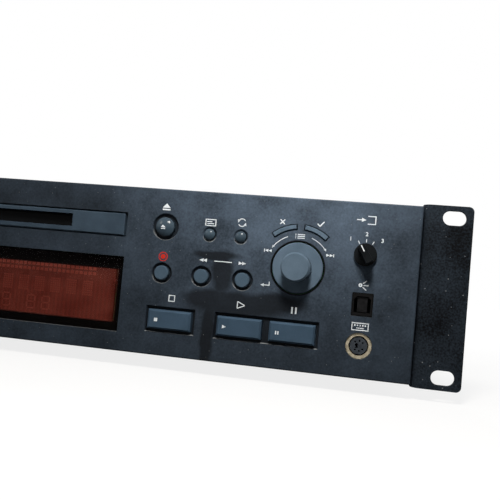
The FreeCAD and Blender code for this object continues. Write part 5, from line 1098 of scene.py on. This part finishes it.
# Each cross recess is painted shade: a flat dark cross on the head's flat top, drawn arm by arm.
CROSS_ARM = ((CROSS_REACH, -CROSS_HALF), (CROSS_REACH, CROSS_HALF), (CROSS_HALF, CROSS_HALF))
recess_shade = new_ink("painted_recess_shade", RECESS_SHADE_TONES)
for node, spots in SCREW_SPOTS.items():
    for side, face in zip((-1, 1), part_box(node)):
        crosses = bmesh.new()
        for y, z in spots:
            points = []
            for quarter in range(4):
                for u, v in CROSS_ARM:
                    for _ in range(quarter):
                        u, v = -v, u
                    points.append((side * y + u, z + v))
            outline(crosses, *points)
        place = -side * face.x / MM
        name = f"{node}_recess_{side + 1}"
        printed(name, crosses, recess_shade, place, turn=side * math.pi / 2)

# Rubber: matt, with the coarse skin of its mould.
rubber = moulded(
    "black_foot_rubber", RUBBER_TONES, roughness=0.8, grain=0.6, cloud=6.0, specular=0.2
)[0]
dress(rubber, "feet")

# --- Rear connectors --------------------------------------------------------------------------
# Die-cast nickel shells round black inserts, with gilt pins in the two outputs. The phono
# sockets have white insulators above and red below, and the mains inlet has three bright blades.
# Printed numbers and arrows tell the sockets apart.

NICKEL_TONES = ("#8f8c86", "#b4b0a9")
PHONO_TONES = ("#a09d98", "#c2bfb9")
WEAR_PITCH = 3
WEAR_POLISH = 0.08
WEAR_DULLING = 0.1
XLR_INPUTS = (-178, -148)
XLR_OUTPUTS = (-112, -82)
XLR_INSERT = 7.6
XLR_INSERT_TONE = "#0e0f10"
XLR_PIN = 1.3
XLR_PIN_REACH = 4
XLR_PIN_TONE = "#c9a24a"
PHONO_COLUMNS = (-50, -30, -10)
PHONO_ROWS = ((9, "#d8d6cf"), (-9, "#a3261e"))
PHONO_INSULATOR = 3.2
INLET_TONES = ("#0c0c0d", "#151516")
INLET_PLACE = 178
INLET_BLADES = ((-7, -2), (0, 2), (7, -2))
BLADE_HALVES = (1.6, 2.6)
BLADE_TONE = "#b8b2a4"
# Each group of sockets: their places along X, which way their arrows point, their signs' height.
REAR_GROUPS = ((XLR_INPUTS, -90, 20), (XLR_OUTPUTS, 90, 20), (PHONO_COLUMNS, 90, 19))


def plated(name, tones, roughness):
    """Metal with cloudy wear: its tone and its shine both vary by the millimetre."""
    finish, tree, shader, spot = new_finish(name, roughness, metallic=1.0)
    wear = add(
        tree,
        "ShaderNodeTexNoise",
        {"Vector": spot, "Scale": 1 / (WEAR_PITCH * MM), "Detail": 6.0},
    ).outputs["Fac"]
    tone = two_tones(tree, wear, *tones)
    tree.links.new(tone, shader.inputs["Base Color"])
    dull = add(
        tree,
        "ShaderNodeMapRange",
        {"Value": wear, 3: roughness - WEAR_POLISH, 4: roughness + WEAR_DULLING},
    )
    tree.links.new(dull.outputs[0], shader.inputs["Roughness"])
    return finish, tree, shader, spot, tone


def bare_only(tree, shader, zone):
    """Takes the metal's shine away where a zone of plastic is one."""
    metal = add(tree, "ShaderNodeMath", {0: 1.0, 1: zone}, operation="SUBTRACT")
    tree.links.new(metal.outputs[0], shader.inputs["Metallic"])


# The die-cast shells have a satin, warm grey plate that wears cloudy.
nickel, tree, shader, spot, tone = plated("satin_nickel_plate", NICKEL_TONES, 0.32)
inserts = any_zone(
    tree, [round_zone(tree, spot, x, 0, XLR_INSERT) for x in XLR_INPUTS + XLR_OUTPUTS]
)
contacts = []
for x in XLR_OUTPUTS:
    for turn in (90, 210, 330):
        way = math.radians(turn)
        contacts.append((x + XLR_PIN_REACH * math.cos(way), XLR_PIN_REACH * math.sin(way)))
pins = any_zone(tree, [round_zone(tree, spot, x, z, XLR_PIN) for x, z in contacts])
tone = layered(tree, inserts, tone, XLR_INSERT_TONE)
tree.links.new(layered(tree, pins, tone, XLR_PIN_TONE), shader.inputs["Base Color"])
plastic = add(tree, "ShaderNodeMath", {0: inserts, 1: pins}, operation="SUBTRACT", use_clamp=True)
bare_only(tree, shader, plastic.outputs[0])
dress(nickel, "xlr_connectors")

# The phono sockets are turned and plated bright. Their insulators are coloured nylon.
phono_plate, tree, shader, spot, tone = plated("bright_nickel_plate", PHONO_TONES, 0.24)
insulators = []
for z, colour in PHONO_ROWS:
    row = any_zone(tree, [round_zone(tree, spot, x, z, PHONO_INSULATOR) for x in PHONO_COLUMNS])
    tone = layered(tree, row, tone, colour)
    insulators.append(row)
tree.links.new(tone, shader.inputs["Base Color"])
bare_only(tree, shader, any_zone(tree, insulators))
dress(phono_plate, "phono_jacks")

# Plain numbers from left to right, arrows in or out, and a line under each group of sockets.
rear_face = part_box("rear_panel")[1].y / MM
rear_signs = bmesh.new()
for places, heading, height in REAR_GROUPS:
    for number, x in enumerate(sorted(places, reverse=True), 1):
        numeral(rear_signs, str(number), -x - 1.4, height, 3.0)
        arrow(rear_signs, -x + 2.2, height, 2.4, heading)
    centre = -sum(places) / len(places)
    bar(rear_signs, centre, 0.5 - height, max(places) - min(places) + 14, 0.5)
x, z = middle("optical_ports")
x, z = -x - 2, z + 12
ring(rear_signs, x, z, 0.7, 0.8)
for turn in RAY_TURNS:
    way = math.radians(turn)
    bar(rear_signs, x + 2.8 * math.cos(way), z + 2.8 * math.sin(way), 2.4, 0.5, -turn)
printed("rear_signs", rear_signs, white_ink, -rear_face, turn=math.pi)

# The inlet is moulded black plastic, and its blades are bare metal.
inlet_pbt, tree, shader, spot, tone = moulded(
    "black_inlet_pbt", INLET_TONES, 0.5, SMALL_GRAIN, cloud=6.0
)
blades = any_zone(
    tree, [round_zone(tree, spot, INLET_PLACE + x, z, *BLADE_HALVES) for x, z in INLET_BLADES]
)
tree.links.new(layered(tree, blades, tone, BLADE_TONE), shader.inputs["Base Color"])
tree.links.new(blades, shader.inputs["Metallic"])
dress(inlet_pbt, "power_inlet")

# --- Inside -----------------------------------------------------------------------------------
# Zinc-plated sheet for the frame and the loader, green boards with their parts, bright rods, a
# laminated transformer, and an acetal pinion and sled.

ZINC_TONES = ("#878b8f", "#a9adb0")
BRIGHT_TONES = ("#a4a7aa", "#c4c6c8")
MASK_TONES = ("#1d4a2c", "#215533")
TRACK_TONE = "#2f6b3f"
TRACK_PITCH = 4
TRACK_SHARE = 0.06
PARTS_TONE = "#17181a"
BOARD_POST = 6.0
BOARD_THICKNESS = 1.6
BOARD_SKIN = 0.05
# Each board: its node, the turn that lays the tracks along it, and the axis its parts grow on.
BOARDS = (
    ("panel_boards", (math.pi / 2, 0, 0), "Y"),
    ("power_board", (0, 0, 0), "Z"),
    ("main_board", (0, 0, 0), "Z"),
)
CORE_TONES = ("#3b3a38", "#5a5855")
# The core's half-millimetre sheets are drawn thicker, so that they show.
SHEET_PITCH = 2.0
ACETAL_TONES = ("#c9c7c0", "#dcdad3")

# Zinc plate has a cool grey bloom.
zinc = plated("zinc_plated_steel", ZINC_TONES, 0.38)[0]
dress(zinc, "front_frame", "loader_frame", "disc_carriage", "drive_motors")

# Rods and turntable are ground, and almost mirror what is round them.
bright = plated("ground_bright_steel", BRIGHT_TONES, 0.2)[0]
dress(bright, "guide_rods", "turntable")


def circuit_board(name, turn, axis, face):
    """Green solder mask over a net of tracks, with black parts beyond the board's face."""
    finish, tree, shader, spot = new_finish(name, 0.35, Specular_IOR_Level=0.3)
    mask_dark, mask_light = MASK_TONES
    flat = add(tree, "ShaderNodeMapping", {"Vector": spot, "Rotation": turn}).outputs[0]
    tracks = add(
        tree,
        "ShaderNodeTexBrick",
        {
            "Vector": flat,
            "Scale": 1 / (TRACK_PITCH * MM),
            "Mortar Size": TRACK_SHARE,
            "Color1": linear(mask_dark),
            "Color2": linear(mask_light),
            "Mortar": linear(TRACK_TONE),
        },
    ).outputs["Color"]
    parts = height_zone(tree, spot, axis, face + BOARD_SKIN, face + 2 * BOARD_SKIN)
    tree.links.new(layered(tree, parts, tracks, PARTS_TONE), shader.inputs["Base Color"])
    return finish


for node, turn, axis in BOARDS:
    low, high = (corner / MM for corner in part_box(node))
    face = low.z + BOARD_POST + BOARD_THICKNESS if axis == "Z" else high.y
    dress(circuit_board(node + "_laminate", turn, axis, face), node)

# The core's stacked sheets show as fine dark lines under a dull varnish.
core_steel, tree, shader, spot = new_finish("varnished_core_steel", 0.45, metallic=0.6)
sheets = add(
    tree,
    "ShaderNodeTexWave",
    {"Vector": spot, "Scale": ONE_WAVE / (SHEET_PITCH * MM)},
    bands_direction="Z",
).outputs["Fac"]
core_tone = two_tones(tree, sheets, *CORE_TONES)
tree.links.new(core_tone, shader.inputs["Base Color"])
dress(core_steel, "power_transformer")

# Acetal is milky white with a waxy shine.
acetal = moulded("white_acetal", ACETAL_TONES, 0.4, SMALL_GRAIN, cloud=8.0, specular=0.5)[0]
dress(acetal, "sled_gear", "pickup_sled")
